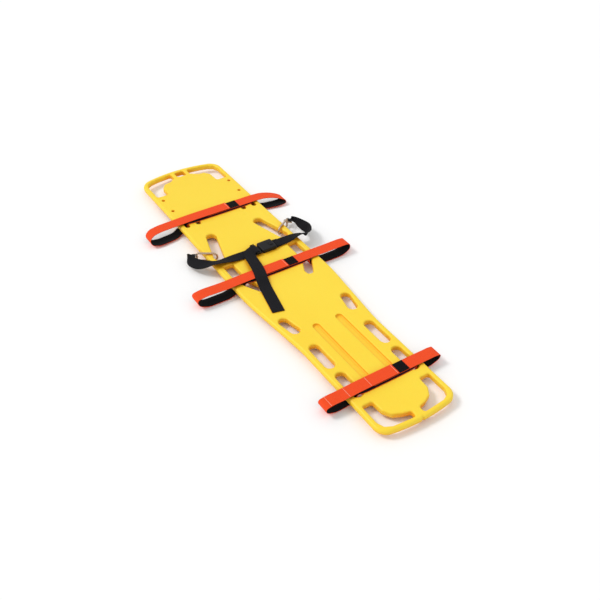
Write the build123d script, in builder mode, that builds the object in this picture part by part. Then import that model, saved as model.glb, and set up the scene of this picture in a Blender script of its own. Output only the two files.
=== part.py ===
from build123d import *
import math
import os

os.makedirs("parts", exist_ok=True)

# Spine board (patient transfer board) with three hook-and-loop body straps
# and one buckled harness strap on snap hooks.
# X runs across the board (right is +X, left is -X), +Y towards the head end,
# +Z up.  Origin: floor level under the middle of the board.  Millimetres.

# ---- sizes of the board ----
HEAD_Y = 915.0          # crown of the head rim
HEAD_CORNER_Y = 882.0   # where the head arc would meet the side line
FOOT_Y = -912.0         # crown of the foot rim
FOOT_CORNER_Y = -893.0
HEAD_HALF = 200.0       # half width, head end
HIP_HALF = 205.0        # half width, widest place
FOOT_HALF = 170.0       # half width, leg section
HEAD_BEND_Y = 430.0     # bends of the side line, from head to foot
HIP_HEAD_Y = 40.0
HIP_FOOT_Y = -90.0
LEG_BEND_Y = -425.0
BOARD_TOP = 40.0
BODY_BOTTOM = 14.0      # underside of the slab; the runners go on to the floor
SLAB_T = BOARD_TOP - BODY_BOTTOM
WALL = 3.5
RIM_R = 10.0            # rounding of the outer edge
HOLLOW_EDGE_R = RIM_R - WALL - 0.5
HOLE_R = 5.0            # rounding of the hand hole and slot edges
NOTCH_R = 4.5           # round notch in the foot rim
GROOVE_DEPTH = 7.0
FIT = 0.1               # gap between the shell and the foam, and round the tubes
OVERLAP = 1.0           # cuts run past the surface, runners into the slab

# head immobiliser pin holes
PIN_X = 170.0
PIN_Y = (611.0, 707.0)
PIN_HOLE_R = 7.0

# stiffener tubes in the foam
TUBE_X = 82.0
TUBE_Z = (BOARD_TOP + BODY_BOTTOM) / 2
TUBE_R = 6.0
TUBE_BORE = 4.5         # inner radius
TUBE_Y0, TUBE_Y1 = -735.0, 690.0

# runners under the slab: (x, half width, y start, y end)
RUNNERS = ((68.0, 17.0, -700.0, 700.0), (-68.0, 17.0, -700.0, 700.0), (0.0, 14.0, -640.0, 640.0))

# fill plugs in the underside
PLUG_Y = 705.0
PLUG_R = 9.0
PLUG_FLANGE = 3.0       # how far the flange reaches past the hole
PLUG_FLANGE_T = 1.5

SIDE = [(HEAD_HALF, HEAD_CORNER_Y), (HEAD_HALF, HEAD_BEND_Y), (HIP_HALF, HIP_HEAD_Y),
        (HIP_HALF, HIP_FOOT_Y), (FOOT_HALF, LEG_BEND_Y), (FOOT_HALF, FOOT_CORNER_Y)]

# plan roundings in the order they are made: (y of the corner, radius)
CORNERS = ((HEAD_CORNER_Y, 60.0), (FOOT_CORNER_Y, 50.0), (LEG_BEND_Y, 900.0),
           (HIP_FOOT_Y, 900.0), (HIP_HEAD_Y, 2500.0), (HEAD_BEND_Y, 2500.0))
CORNER_REACH = 10.0     # a corner is looked for this far either side of its y

# polygonal openings on the right half: (points, corner radius)
HEAD_GRIP = ([(180, 744), (180, 836), (171, 862), (148, 877), (112, 885.5), (44, 893.5),
              (41, 857), (72, 834), (104, 829), (124, 803), (127, 744)], 8.0)
FOOT_GRIP = ([(106, -762), (150, -762), (150, -846), (139, -872), (112, -885), (20, -893),
              (18, -868), (50, -860), (84, -843), (103, -812)], 8.0)
WAIST_SLOT = ([(134, 147), (134, 28), (97, -46), (100, -72), (122, -72), (142, -40), (172, 18),
               (177, 40), (177, 147)], 9.0)
# polygonal opening on the centre line
HEAD_SLOT = ([(23, 853), (23, 893), (-23, 893), (-23, 853)], 9.0)
# slotted openings and groove on the right half: (start, end, half width)
CHEST_SLOT = ((118.0, 352.0), (157.0, 215.0), 22.0)
HAND_1 = ((146.0, -264.0), (134.0, -324.0), 20.0)
HAND_2 = ((127.0, -445.0), (127.0, -538.0), 21.0)
HAND_3 = ((127.0, -611.0), (127.0, -701.0), 21.0)
STRAP_OUT = ((168.0, 474.0), (168.0, 528.0), 10.0)
STRAP_IN = ((115.0, 474.0), (115.0, 528.0), 10.0)
GROOVE = ((53.0, -350.0), (53.0, -653.0), 15.0)


# ------------------------------------------------------------------
# Shared helpers; the face helpers add to the sketch that calls them
# ------------------------------------------------------------------

def save(builder, name):
    builder.part.label = name
    export_step(builder.part, "parts/" + name + ".step")


def span(x0, x1, y0, y1, radius=0.0, mode=Mode.ADD):
    """Rectangle between two x and two y values, with rounded corners if asked."""
    with Locations(((x0 + x1) / 2, (y0 + y1) / 2)):
        if radius:
            RectangleRounded(x1 - x0, y1 - y0, radius, mode=mode)
        else:
            Rectangle(x1 - x0, y1 - y0, mode=mode)


def outline(inset=0.0):
    """Plan outline of the moulding, inset by a distance."""
    with BuildSketch(mode=Mode.PRIVATE) as plan:
        with BuildLine():
            ThreePointArc((-HEAD_HALF, HEAD_CORNER_Y), (0, HEAD_Y), (HEAD_HALF, HEAD_CORNER_Y))
            Polyline(*SIDE)
            ThreePointArc((FOOT_HALF, FOOT_CORNER_Y), (0, FOOT_Y), (-FOOT_HALF, FOOT_CORNER_Y))
            Polyline(*[(-x, y) for x, y in reversed(SIDE)])
        make_face()
        for y, radius in CORNERS:
            corners = plan.vertices().filter_by_position(Axis.Y, y - CORNER_REACH, y + CORNER_REACH)
            fillet(corners, radius)
        if inset:
            offset(amount=-inset)
    add(plan.sketch)


def slot_face(spec, side, grow=0.0):
    (x0, y0), (x1, y1), half_width = spec
    length = math.hypot(x1 - x0, y1 - y0)
    angle = math.degrees(math.atan2(y1 - y0, side * (x1 - x0)))
    with Locations((side * (x0 + x1) / 2, (y0 + y1) / 2)):
        SlotCenterToCenter(length, 2 * (half_width + grow), rotation=angle)


def poly_face(spec, side, grow=0.0):
    points, radius = spec
    with BuildSketch(mode=Mode.PRIVATE) as opening:
        with BuildLine():
            FilletPolyline(*[(side * x, y) for x, y in points], radius=radius, close=True)
        make_face()
        if grow:
            offset(amount=grow)
    add(opening.sketch)


def hand_and_strap_openings(grow=0.0):
    for side in (1, -1):
        for spec in (CHEST_SLOT, HAND_1, HAND_2, HAND_3, STRAP_OUT, STRAP_IN):
            slot_face(spec, side, grow)
        for spec in (HEAD_GRIP, FOOT_GRIP, WAIST_SLOT):
            poly_face(spec, side, grow)
    poly_face(HEAD_SLOT, 1, grow)


def pin_holes(grow=0.0):
    with Locations(*[(side * PIN_X, y) for side in (1, -1) for y in PIN_Y]):
        Circle(PIN_HOLE_R + grow)


def grooves(grow=0.0):
    for side in (1, -1):
        slot_face(GROOVE, side, grow)


def runner_faces(grow=0.0):
    for x, half_width, y0, y1 in RUNNERS:
        with Locations((x, (y0 + y1) / 2)):
            SlotOverall(y1 - y0 + 2 * grow, 2 * (half_width + grow), rotation=90)


def plug_circles(radius):
    with Locations((0, PLUG_Y), (0, -PLUG_Y)):
        Circle(radius)


def cavity(shrink):
    """Hollow of the moulding, or the foam that fills it when shrunk by the fit."""
    skin = WALL + shrink
    with BuildPart() as core:
        with BuildSketch(Plane.XY.offset(BODY_BOTTOM + skin)):
            outline(skin)
        extrude(amount=SLAB_T - 2 * skin)
        levels = core.edges().group_by(Axis.Z)
        fillet(levels[0] + levels[-1], HOLLOW_EDGE_R)
        with BuildSketch(Plane.XY.offset(BODY_BOTTOM)):
            hand_and_strap_openings(skin)
            pin_holes(skin)
        extrude(amount=SLAB_T, mode=Mode.SUBTRACT)
        with BuildSketch(Plane.XY.offset(BOARD_TOP - GROOVE_DEPTH - skin)):
            grooves(skin)
        extrude(amount=30, mode=Mode.SUBTRACT)
        with BuildSketch(Plane.XY.offset(skin)):
            runner_faces(-skin)
        extrude(amount=BODY_BOTTOM + OVERLAP)
    return core.part


# ------------------------------------------------------------------
# Board
# ------------------------------------------------------------------

# ---- board shell ----
hollow = cavity(0.0)
with BuildPart() as board_shell:
    with BuildSketch(Plane.XY.offset(BODY_BOTTOM)):
        outline()
    extrude(amount=SLAB_T)
    edge_levels = board_shell.edges().group_by(Axis.Z)
    fillet(edge_levels[0] + edge_levels[-1], RIM_R)
    with BuildSketch(Plane.XY.offset(BODY_BOTTOM - OVERLAP)):
        hand_and_strap_openings()
    extrude(amount=SLAB_T + 2 * OVERLAP, mode=Mode.SUBTRACT)
    rims = []
    for face in (board_shell.faces().sort_by(Axis.Z)[-1], board_shell.faces().sort_by(Axis.Z)[0]):
        for wire in face.inner_wires():
            rims += wire.edges()
    fillet(rims, HOLE_R)
    with BuildSketch(Plane.XY.offset(BOARD_TOP - GROOVE_DEPTH)):
        grooves()
    extrude(amount=GROOVE_DEPTH + 5, mode=Mode.SUBTRACT)
    with BuildSketch():
        runner_faces()
    extrude(amount=BODY_BOTTOM + OVERLAP)
    add(hollow, mode=Mode.SUBTRACT)
    with BuildSketch(Plane.XY):
        pin_holes()
    extrude(amount=BOARD_TOP + OVERLAP, mode=Mode.SUBTRACT)
    with BuildSketch(Plane.XY.offset(BODY_BOTTOM - OVERLAP)):
        plug_circles(PLUG_R)
    extrude(amount=WALL + 1.5, mode=Mode.SUBTRACT)
    # round notch in the middle of the foot rim
    with BuildSketch(Plane.XY.offset(BODY_BOTTOM - OVERLAP)):
        with Locations((0, FOOT_Y - 1)):
            Circle(NOTCH_R)
    extrude(amount=SLAB_T + 2 * OVERLAP, mode=Mode.SUBTRACT)
save(board_shell, "board_shell")

# ---- stiffener tubes ----
with BuildPart() as stiffener_tubes:
    with BuildSketch(Plane.XZ.offset(-TUBE_Y1)):
        with Locations((TUBE_X, TUBE_Z), (-TUBE_X, TUBE_Z)):
            Circle(TUBE_R)
            Circle(TUBE_BORE, mode=Mode.SUBTRACT)
    extrude(amount=TUBE_Y1 - TUBE_Y0)
save(stiffener_tubes, "stiffener_tubes")

# ---- foam core, bored for the tubes ----
foam_body = cavity(FIT)
with BuildPart() as foam_core:
    add(foam_body)
    with BuildSketch(Plane.XZ.offset(-TUBE_Y1 - 1)):
        with Locations((TUBE_X, TUBE_Z), (-TUBE_X, TUBE_Z)):
            Circle(TUBE_R + FIT)
    extrude(amount=TUBE_Y1 - TUBE_Y0 + 2, mode=Mode.SUBTRACT)
save(foam_core, "foam_core")

# ---- fill plugs: a flange under the slab and a stem in the hole ----
with BuildPart() as fill_plugs:
    with BuildSketch(Plane.XY.offset(BODY_BOTTOM - PLUG_FLANGE_T - 0.1)):
        plug_circles(PLUG_R + PLUG_FLANGE)
    extrude(amount=PLUG_FLANGE_T)
    with BuildSketch(Plane.XY.offset(BODY_BOTTOM - 0.2)):
        plug_circles(PLUG_R - 0.05)
    extrude(amount=WALL)
save(fill_plugs, "fill_plugs")


# ------------------------------------------------------------------
# Webbing: a faceted flat band through rectangular sections.
# A section is (point, width direction, width).
# ------------------------------------------------------------------

def round_path(points, radius, steps=3):
    """Replace the corners of a 3-D polyline by short curves of points."""
    points = [Vector(*point) for point in points]
    rounded = [points[0]]
    for before, corner, after in zip(points, points[1:], points[2:]):
        back, ahead = before - corner, after - corner
        trim = min(radius, 0.45 * back.length, 0.45 * ahead.length)
        start = corner + back.normalized() * trim
        end = corner + ahead.normalized() * trim
        for i in range(steps + 1):
            t = i / steps
            rounded.append(start * ((1 - t) ** 2) + corner * (2 * t * (1 - t)) + end * (t ** 2))
    rounded.append(points[-1])
    return rounded


def band(sections, low, high, square=True):
    """Add a flat band closed from plane facets.  low and high are distances
    from the path along the band's normal (width direction x tangent), the
    outer side of a body strap's loops being positive.  square turns each
    section square to the path; without it the edges stay as given."""
    path = [section[0] for section in sections]
    rings = []
    for i, (point, width_dir, width) in enumerate(sections):
        before = path[max(i - 1, 0)]
        after = path[min(i + 1, len(path) - 1)]
        tangent = (after - before).normalized()
        if square:
            width_dir = width_dir - tangent * width_dir.dot(tangent)
        half = width_dir.normalized() * (width / 2)
        normal = half.cross(tangent).normalized()
        rings.append((point - half + normal * low, point + half + normal * low,
                      point + half + normal * high, point - half + normal * high))
    faces = [Face(Wire.make_polygon(rings[0])), Face(Wire.make_polygon(rings[-1]))]
    for ring, following in zip(rings, rings[1:]):
        for k in range(4):
            after = (k + 1) % 4
            faces.append(Face(Wire.make_polygon((ring[k], ring[after], following[after]))))
            faces.append(Face(Wire.make_polygon((ring[k], following[after], following[k]))))
    solid = Solid(Shell(faces))
    if solid.volume < 0:
        solid = Solid(Shell(faces[::-1]))
    add(solid)


# ------------------------------------------------------------------
# Body straps.  Each path starts at the tip of the left end, runs out over
# the left side, round the loose loop, under the side rail, up the slot,
# across the board, down the other slot and back to the tip of the right end.
# ------------------------------------------------------------------
WEB_W = 50.0            # webbing width
LINING_W = WEB_W - 2    # width of the lining and the hook patch
WEB_T = 1.6             # orange webbing
LIN_T = 1.3             # black loop lining
GAP = 0.1               # between webbing and lining, and under the hook patch
PATCH_T = 1.2
STRAP_BEND_R = 7.0
DECK_Z = 42.0           # strap path across the board
UPPER_Z = 50.2          # strap path of the left end, on top in the closure
LOWER_Z = 45.8          # strap path of the right end
LAP_LEFT = 52.0         # tip of the left end
LAP_LEFT_OUT = -120.0   # where the left end starts down towards its loop
LAP_RIGHT = -60.0       # tip of the right end and inner end of the hook patch
LAP_PATCH = 100.0       # outer end of the hook patch

# way up through a slot: (distance outwards from the slot x, z)
SLOT_CLIMB = ((1, 10.5), (-1, 30.0), (-4, DECK_Z))

# name: (centre y, slot x, left loop, right loop).
# A loop is listed from the top of the rail outwards, round its tip and
# back under the rail, as (distance out from the centre, y shift, z).
STRAPS = {
    "chest_strap": (511.0, 168.0,
                    ((186, 0, 48.2), (232, 0, 46.5), (282, 0, 45.0), (328, -6, 42.0),
                     (352, -20, 30.0), (347, -36, 15.0), (310, -44, 9.5), (230, -34, 8.0),
                     (196, -12, 9.4)),
                    ((186, 0, 45.8), (232, 0, 43.0), (272, -8, 37.0), (306, -22, 29.0),
                     (328, -36, 20.0), (322, -45, 13.0), (290, -45, 9.5), (230, -34, 8.0),
                     (196, -12, 9.4))),
    "hip_strap": (28.0, 158.0,
                  ((190, 0, 48.2), (236, 0, 47.0), (332, 0, 50.5), (372, 0, 44.0),
                   (366, -7, 20.0), (327, -12, 5.5), (235, -12, 5.0), (199, -4, 9.0)),
                  ((190, 0, 45.8), (236, 0, 44.6), (336, 0, 45.0), (366, 0, 40.0),
                   (360, -7, 20.0), (321, -12, 5.5), (235, -12, 5.0), (199, -4, 9.0))),
    "leg_strap": (-690.0, 139.0,
                  ((156, 0, 48.2), (200, 0, 47.0), (226, 0, 49.0), (266, 0, 44.0),
                   (260, 0, 20.0), (221, 0, 5.5), (200, 0, 5.0), (164, 0, 9.0)),
                  ((156, 0, 45.8), (200, 0, 44.6), (220, 0, 45.0), (250, 0, 40.0),
                   (244, 0, 20.0), (205, 0, 5.5), (190, 0, 5.0), (164, 0, 9.0))),
}

# layers of a strap: (name ending, width, low, high)
STRAP_LAYERS = (("_webbing", WEB_W, GAP / 2, GAP / 2 + WEB_T),
                ("_lining", LINING_W, -GAP / 2 - LIN_T, -GAP / 2))


def strap_path(centre_y, slot_x, left_loop, right_loop):
    points = [(LAP_LEFT, 0, UPPER_Z), (LAP_LEFT_OUT, 0, UPPER_Z)]
    points += [(-x, shift, z) for x, shift, z in left_loop]
    points += [(-slot_x - out, 0, z) for out, z in SLOT_CLIMB]
    points += [(slot_x + out, 0, z) for out, z in reversed(SLOT_CLIMB)]
    points += [(x, shift, z) for x, shift, z in reversed(right_loop)]
    points += [(LAP_RIGHT, 0, LOWER_Z)]
    return round_path([(x, centre_y + shift, z) for x, shift, z in points], STRAP_BEND_R)


def body_strap(name, centre_y, slot_x, left_loop, right_loop):
    path = strap_path(centre_y, slot_x, left_loop, right_loop)
    for ending, width, low, high in STRAP_LAYERS:
        with BuildPart() as layer:
            band([(point, Vector(0, 1, 0), width) for point in path], low, high, square=False)
        save(layer, name + ending)
    # hook patch on top of the right end
    with BuildPart() as patch:
        with BuildSketch(Plane.XY.offset(LOWER_Z + GAP / 2 + WEB_T + GAP)):
            span(LAP_RIGHT, LAP_PATCH, centre_y - LINING_W / 2, centre_y + LINING_W / 2)
        extrude(amount=PATCH_T)
    save(patch, name + "_hook_patch")


for strap_name, strap_shape in STRAPS.items():
    body_strap(strap_name, *strap_shape)

# ------------------------------------------------------------------
# Snap hooks.  Each hook lies in a vertical plane across the side rail;
# local x (the _S values) runs outwards from the board's edge, local y is Z.
# ------------------------------------------------------------------
HOOK_AT = {1: (202.2, 275.0), -1: (-202.2, 257.0)}   # where the hooks cross the board's edge
HOOK_DIR = (0.857, 0.515)       # outward direction in plan, right side
WIRE_R = 4.0
H_TOP, H_BOT = 46.0, 9.0        # wire centres above and below the rail
H_MID = (H_TOP + H_BOT) / 2
BEND_S, BEND_R = -34.0, 18.5    # bend in the chest slot
NOSE_S = 4.0
END_S = 33.0                    # outer leg of the hook
END_R = 6.0
WIRE_END_S = 26.5

# gate, with a spring and plunger in its bore
GATE_TIP_S = 4.6
PIVOT_S = 22.5
PIVOT_HOLE_R = 1.55
TONGUE_R = 3.5                  # flat tongue in the gate's fork
TONGUE_T = 3.0
FORK_GAP = 3.3
GATE_BORE_R = 2.2
GATE_BORE_S = GATE_TIP_S + 2.4  # closed end of the bore
PLUNGER_R = 2.1
PLUNGER_L = 3.4
PLUNGER_END_S = PIVOT_S - 3.6
PLUNGER_S = PLUNGER_END_S - PLUNGER_L
SPRING_GAP = 0.6                # free space at each end of the spring
RIVET_R = 1.5
RIVET_L = 8.2
RIVET_HEAD_R = 2.6
RIVET_HEAD_T = 0.85

# strap eye
EYE_S = 44.5                    # strap bar of the eye
EYE_BAR = 2.5                   # half width of the bars
EYE_HALF = 18.0                 # side bars, either side of the hook
EYE_Z = H_MID
EYE_T = 6.0
EYE_WEB = 28.0                  # width of the webbing in the eye


def hook_outward(side):
    return Vector(side * HOOK_DIR[0], HOOK_DIR[1], 0).normalized()


def hook_plane(side):
    outward = hook_outward(side)
    return Plane(origin=Vector(*HOOK_AT[side], 0), x_dir=outward,
                 z_dir=Vector(outward.Y, -outward.X, 0))


def wire_point(plane, distance):
    """Point on the lower wire's centre line."""
    return plane.from_local_coords(Vector(distance, H_BOT, 0))


def wire_section(plane, distance, facing=1):
    """Plane square to the lower wire, facing outwards or (-1) inwards."""
    return Plane(origin=wire_point(plane, distance), x_dir=plane.z_dir,
                 z_dir=plane.x_dir * facing)


def hook_body(plane):
    with BuildPart() as body:
        with BuildLine(plane):
            Line((NOSE_S, H_BOT), (BEND_S, H_BOT))
            ThreePointArc((BEND_S, H_BOT), (BEND_S - BEND_R, H_MID), (BEND_S, H_TOP))
            Line((BEND_S, H_TOP), (END_S - END_R, H_TOP))
            RadiusArc((END_S - END_R, H_TOP), (END_S, H_TOP - END_R), END_R)
            Line((END_S, H_TOP - END_R), (END_S, H_BOT + END_R))
            RadiusArc((END_S, H_BOT + END_R), (END_S - END_R, H_BOT), END_R)
            Line((END_S - END_R, H_BOT), (WIRE_END_S, H_BOT))
        with BuildSketch(wire_section(plane, NOSE_S, facing=-1)):
            Circle(WIRE_R)
        sweep()
        # flat tongue that the gate turns on
        with BuildSketch(plane.offset(-TONGUE_T / 2)):
            span(PIVOT_S, WIRE_END_S + 1, H_BOT - TONGUE_R, H_BOT + TONGUE_R)
            with Locations((PIVOT_S, H_BOT)):
                Circle(TONGUE_R)
                Circle(PIVOT_HOLE_R, mode=Mode.SUBTRACT)
        extrude(amount=TONGUE_T)
        # strap eye, a flat ring across the hook
        eye_base = Plane(origin=plane.origin + Vector(0, 0, EYE_Z - EYE_T / 2),
                         x_dir=plane.x_dir, z_dir=(0, 0, 1))
        outer_half, inner_half = EYE_HALF + EYE_BAR, EYE_HALF - EYE_BAR
        with BuildSketch(eye_base):
            span(END_S + 1.5, EYE_S + EYE_BAR, -outer_half, outer_half, radius=5)
        with BuildSketch(eye_base, mode=Mode.PRIVATE) as window:
            span(END_S + 4, EYE_S - EYE_BAR, -inner_half, inner_half, radius=1.5)
        extrude(amount=EYE_T)
        extrude(window.sketch, amount=EYE_T, mode=Mode.SUBTRACT)
    return body


def hook_gate(plane):
    with BuildPart() as gate:
        with BuildSketch(wire_section(plane, GATE_TIP_S)):
            Circle(WIRE_R)
        extrude(amount=PIVOT_S - GATE_TIP_S)
        with BuildSketch(plane.offset(-WIRE_R)):
            with Locations((PIVOT_S, H_BOT)):
                Circle(3.9)
        extrude(amount=2 * WIRE_R)
        # fork round the tongue
        with BuildSketch(plane.offset(-FORK_GAP / 2)):
            with Locations((PIVOT_S + 1, H_BOT)):
                Rectangle(10.2, 12)
        extrude(amount=FORK_GAP, mode=Mode.SUBTRACT)
        with BuildSketch(plane.offset(-WIRE_R - 1)):
            with Locations((PIVOT_S, H_BOT)):
                Circle(PIVOT_HOLE_R)
        extrude(amount=2 * WIRE_R + 2, mode=Mode.SUBTRACT)
        # bore for the spring and plunger
        with BuildSketch(wire_section(plane, GATE_BORE_S)):
            Circle(GATE_BORE_R)
        extrude(amount=PLUNGER_END_S - GATE_BORE_S, mode=Mode.SUBTRACT)
    return gate


def gate_rivet(plane):
    with BuildPart() as rivet:
        with BuildSketch(plane.offset(-RIVET_L / 2)):
            with Locations((PIVOT_S, H_BOT)):
                Circle(RIVET_R)
        extrude(amount=RIVET_L)
        for head_base in (-4.9, 4.05):
            with BuildSketch(plane.offset(head_base)):
                with Locations((PIVOT_S, H_BOT)):
                    Circle(RIVET_HEAD_R)
            extrude(amount=RIVET_HEAD_T)
    return rivet


def gate_plunger(plane):
    with BuildPart() as plunger:
        with BuildSketch(wire_section(plane, PLUNGER_S)):
            Circle(PLUNGER_R)
        extrude(amount=PLUNGER_L)
    return plunger


def gate_spring(plane):
    with BuildPart() as spring:
        with BuildLine() as coil:
            Helix(pitch=1.35, height=PLUNGER_S - GATE_BORE_S - 2 * SPRING_GAP, radius=1.6,
                  center=wire_point(plane, GATE_BORE_S + SPRING_GAP), direction=plane.x_dir)
        with BuildSketch(Plane(origin=coil.line @ 0, z_dir=coil.line % 0)):
            Circle(0.35)
        sweep()
    return spring


for hook_side, prefix in ((1, "right"), (-1, "left")):
    across_rail = hook_plane(hook_side)
    save(hook_body(across_rail), prefix + "_snap_hook")
    save(hook_gate(across_rail), prefix + "_hook_gate")
    save(gate_rivet(across_rail), prefix + "_gate_rivet")
    save(gate_plunger(across_rail), prefix + "_gate_plunger")
    save(gate_spring(across_rail), prefix + "_gate_spring")

# ------------------------------------------------------------------
# Push-button buckle
# ------------------------------------------------------------------
BK_Y = 165.0            # centre line of the buckle
BK_X0, BK_X1 = 10.0, 78.0   # ends of the covers
BK_HALF = 30.0          # half width of the covers
COVER_WALL = 2.0
COVER_CORNER_R = 6.0
COVER_TOP = 58.0
FRAME_Z, PLATE_T = 44.0, 2.5
FRAME_TOP = FRAME_Z + PLATE_T
FRAME_X0, FRAME_X1 = 14.0, 92.0
FRAME_HALF = 27.0
CHEEK_T = 2.0           # upright cheeks of the frame and of the tongue plate
TONGUE_Z = 46.7
TONGUE_TOP = TONGUE_Z + PLATE_T
PAWL_X, PAWL_Z = 50.0, 52.0
PAWL_NOSE_X = 39.5      # end of the pawl with the tooth
PIN_R = 1.5
PIN_FIT = 0.05
BUTTON_X = 62.0
BUTTON_L, BUTTON_W, BUTTON_CORNER_R = 16.0, 24.0, 3.0
BUTTON_FIT = 0.2
BUTTON_BASE = COVER_TOP - 1.0
BUTTON_TOP = 60.5
BAR_X, BAR_Z, BAR_R = -13.0, 52.8, 3.4
BAR_PIN_R = 2.0         # thin ends of the adjuster bar
BAR_TRAVEL = 4.0


def flat_plane(z):
    """Level plane with its origin on the buckle's centre line."""
    return Plane(origin=(0, BK_Y, z), x_dir=(1, 0, 0), z_dir=(0, 0, 1))


def side_plane(y):
    """Vertical plane facing -Y; sketch x is X and sketch y is Z."""
    return Plane(origin=(0, BK_Y + y, 0), x_dir=(1, 0, 0), z_dir=(0, -1, 0))


# ---- frame: slotted plate with two cheeks for the pawl pin ----
with BuildPart() as buckle_frame:
    with BuildSketch(flat_plane(FRAME_Z)):
        span(FRAME_X0, FRAME_X1, -FRAME_HALF, FRAME_HALF)
        with Locations((84, 0)):
            SlotOverall(52, 5, rotation=90, mode=Mode.SUBTRACT)
    extrude(amount=PLATE_T)
    frame_uprights = buckle_frame.edges().filter_by(Axis.Z)
    fillet(frame_uprights.filter_by_position(Axis.X, FRAME_X1 - 1, FRAME_X1 + 1), 4)
    for cheek_y in (21, -19):
        with BuildSketch(side_plane(cheek_y)):
            span(40, 58, FRAME_TOP, 55)
            with Locations((PAWL_X, PAWL_Z)):
                Circle(PIN_R + PIN_FIT, mode=Mode.SUBTRACT)
        extrude(amount=CHEEK_T)
save(buckle_frame, "buckle_frame")

with BuildPart() as pawl_pin:
    with BuildSketch(side_plane(23)):
        with Locations((PAWL_X, PAWL_Z)):
            Circle(PIN_R)
    extrude(amount=46)
save(pawl_pin, "pawl_pin")

# ---- pawl: hub, arm under the button, arm with the tooth ----
with BuildPart() as latch_pawl:
    with BuildSketch(side_plane(12)):
        with Locations((PAWL_X, PAWL_Z)):
            Circle(3.2)
    extrude(amount=24)
    with BuildSketch(side_plane(7)):
        span(PAWL_X, BUTTON_X, PAWL_Z - 1.5, PAWL_Z + 1.5)
        span(PAWL_NOSE_X, PAWL_X, PAWL_Z - 1.5, PAWL_Z + 0.7)
        span(PAWL_NOSE_X, PAWL_NOSE_X + 3.5, 47.3, 51)
    extrude(amount=14)
    with BuildSketch(side_plane(13)):
        with Locations((PAWL_X, PAWL_Z)):
            Circle(PIN_R + PIN_FIT)
    extrude(amount=26, mode=Mode.SUBTRACT)
save(latch_pawl, "latch_pawl")

# ---- tongue plate: wide strap end, narrow tongue, two cheeks for the bar ----
with BuildPart() as tongue_plate:
    with BuildSketch(flat_plane(TONGUE_Z)):
        span(-26, 5, -31, 31)
        span(0, 47.5, -16, 16)
        span(-21, -1, -26, 26, radius=3, mode=Mode.SUBTRACT)
        span(37, 44, -9, 9, mode=Mode.SUBTRACT)
    extrude(amount=PLATE_T)
    for corner_x0, corner_x1 in ((-27, -25), (47, 48)):
        tongue_uprights = tongue_plate.edges().filter_by(Axis.Z)
        fillet(tongue_uprights.filter_by_position(Axis.X, corner_x0, corner_x1), 4)
    for cheek_y in (31, -29):
        with BuildSketch(side_plane(cheek_y)):
            span(-20, -2, TONGUE_TOP, 57)
            with Locations((BAR_X + BAR_TRAVEL / 2, BAR_Z)):
                SlotCenterToCenter(BAR_TRAVEL, 2 * (BAR_PIN_R + 0.1), mode=Mode.SUBTRACT)
        extrude(amount=CHEEK_T)
save(tongue_plate, "tongue_plate")

# ---- adjuster bar: fluted middle on a thin through pin ----
with BuildPart() as adjuster_bar:
    with BuildSketch(side_plane(28.7)):
        with Locations((BAR_X, BAR_Z)):
            Circle(BAR_R)
            with PolarLocations(BAR_R + 0.15, 16):
                Circle(0.45, mode=Mode.SUBTRACT)
    extrude(amount=57.4)
    with BuildSketch(side_plane(31.6)):
        with Locations((BAR_X, BAR_Z)):
            Circle(BAR_PIN_R)
    extrude(amount=63.2)
save(adjuster_bar, "adjuster_bar")

with BuildPart() as cover_upper:
    with BuildSketch(flat_plane(FRAME_Z - 0.1)):
        span(BK_X0, BK_X1, -BK_HALF, BK_HALF, radius=COVER_CORNER_R)
    extrude(amount=COVER_TOP - FRAME_Z + 0.1)
    fillet(cover_upper.edges().group_by(Axis.Z)[-1], 3)
    with BuildSketch(flat_plane(FRAME_Z - 0.2)):
        span(BK_X0 + COVER_WALL, BK_X1 - COVER_WALL, COVER_WALL - BK_HALF, BK_HALF - COVER_WALL,
             radius=COVER_CORNER_R - COVER_WALL)
    extrude(amount=COVER_TOP - COVER_WALL - FRAME_Z + 0.2, mode=Mode.SUBTRACT)
    # mouth for the tongue
    with BuildSketch(flat_plane(FRAME_Z - 0.2)):
        with Locations((BK_X0, 0)):
            Rectangle(10, 35)
    extrude(amount=TONGUE_TOP + 0.6 - FRAME_Z + 0.2, mode=Mode.SUBTRACT)
    # way out for the frame
    with BuildSketch(flat_plane(FRAME_Z - 0.2)):
        with Locations((BK_X1, 0)):
            Rectangle(10, 2 * FRAME_HALF + 0.6)
    extrude(amount=PLATE_T + 0.5, mode=Mode.SUBTRACT)
    # button opening
    with BuildSketch(flat_plane(COVER_TOP - 3)):
        with Locations((BUTTON_X, 0)):
            RectangleRounded(BUTTON_L + 2 * BUTTON_FIT, BUTTON_W + 2 * BUTTON_FIT,
                             BUTTON_CORNER_R + BUTTON_FIT)
    extrude(amount=5, mode=Mode.SUBTRACT)
save(cover_upper, "buckle_cover_upper")

with BuildPart() as cover_lower:
    with BuildSketch(flat_plane(41.0)):
        span(BK_X0, BK_X1, -BK_HALF, BK_HALF, radius=COVER_CORNER_R)
    extrude(amount=2.8)
    chamfer(cover_lower.edges().group_by(Axis.Z)[0], 1.2)
save(cover_lower, "buckle_cover_lower")

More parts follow.
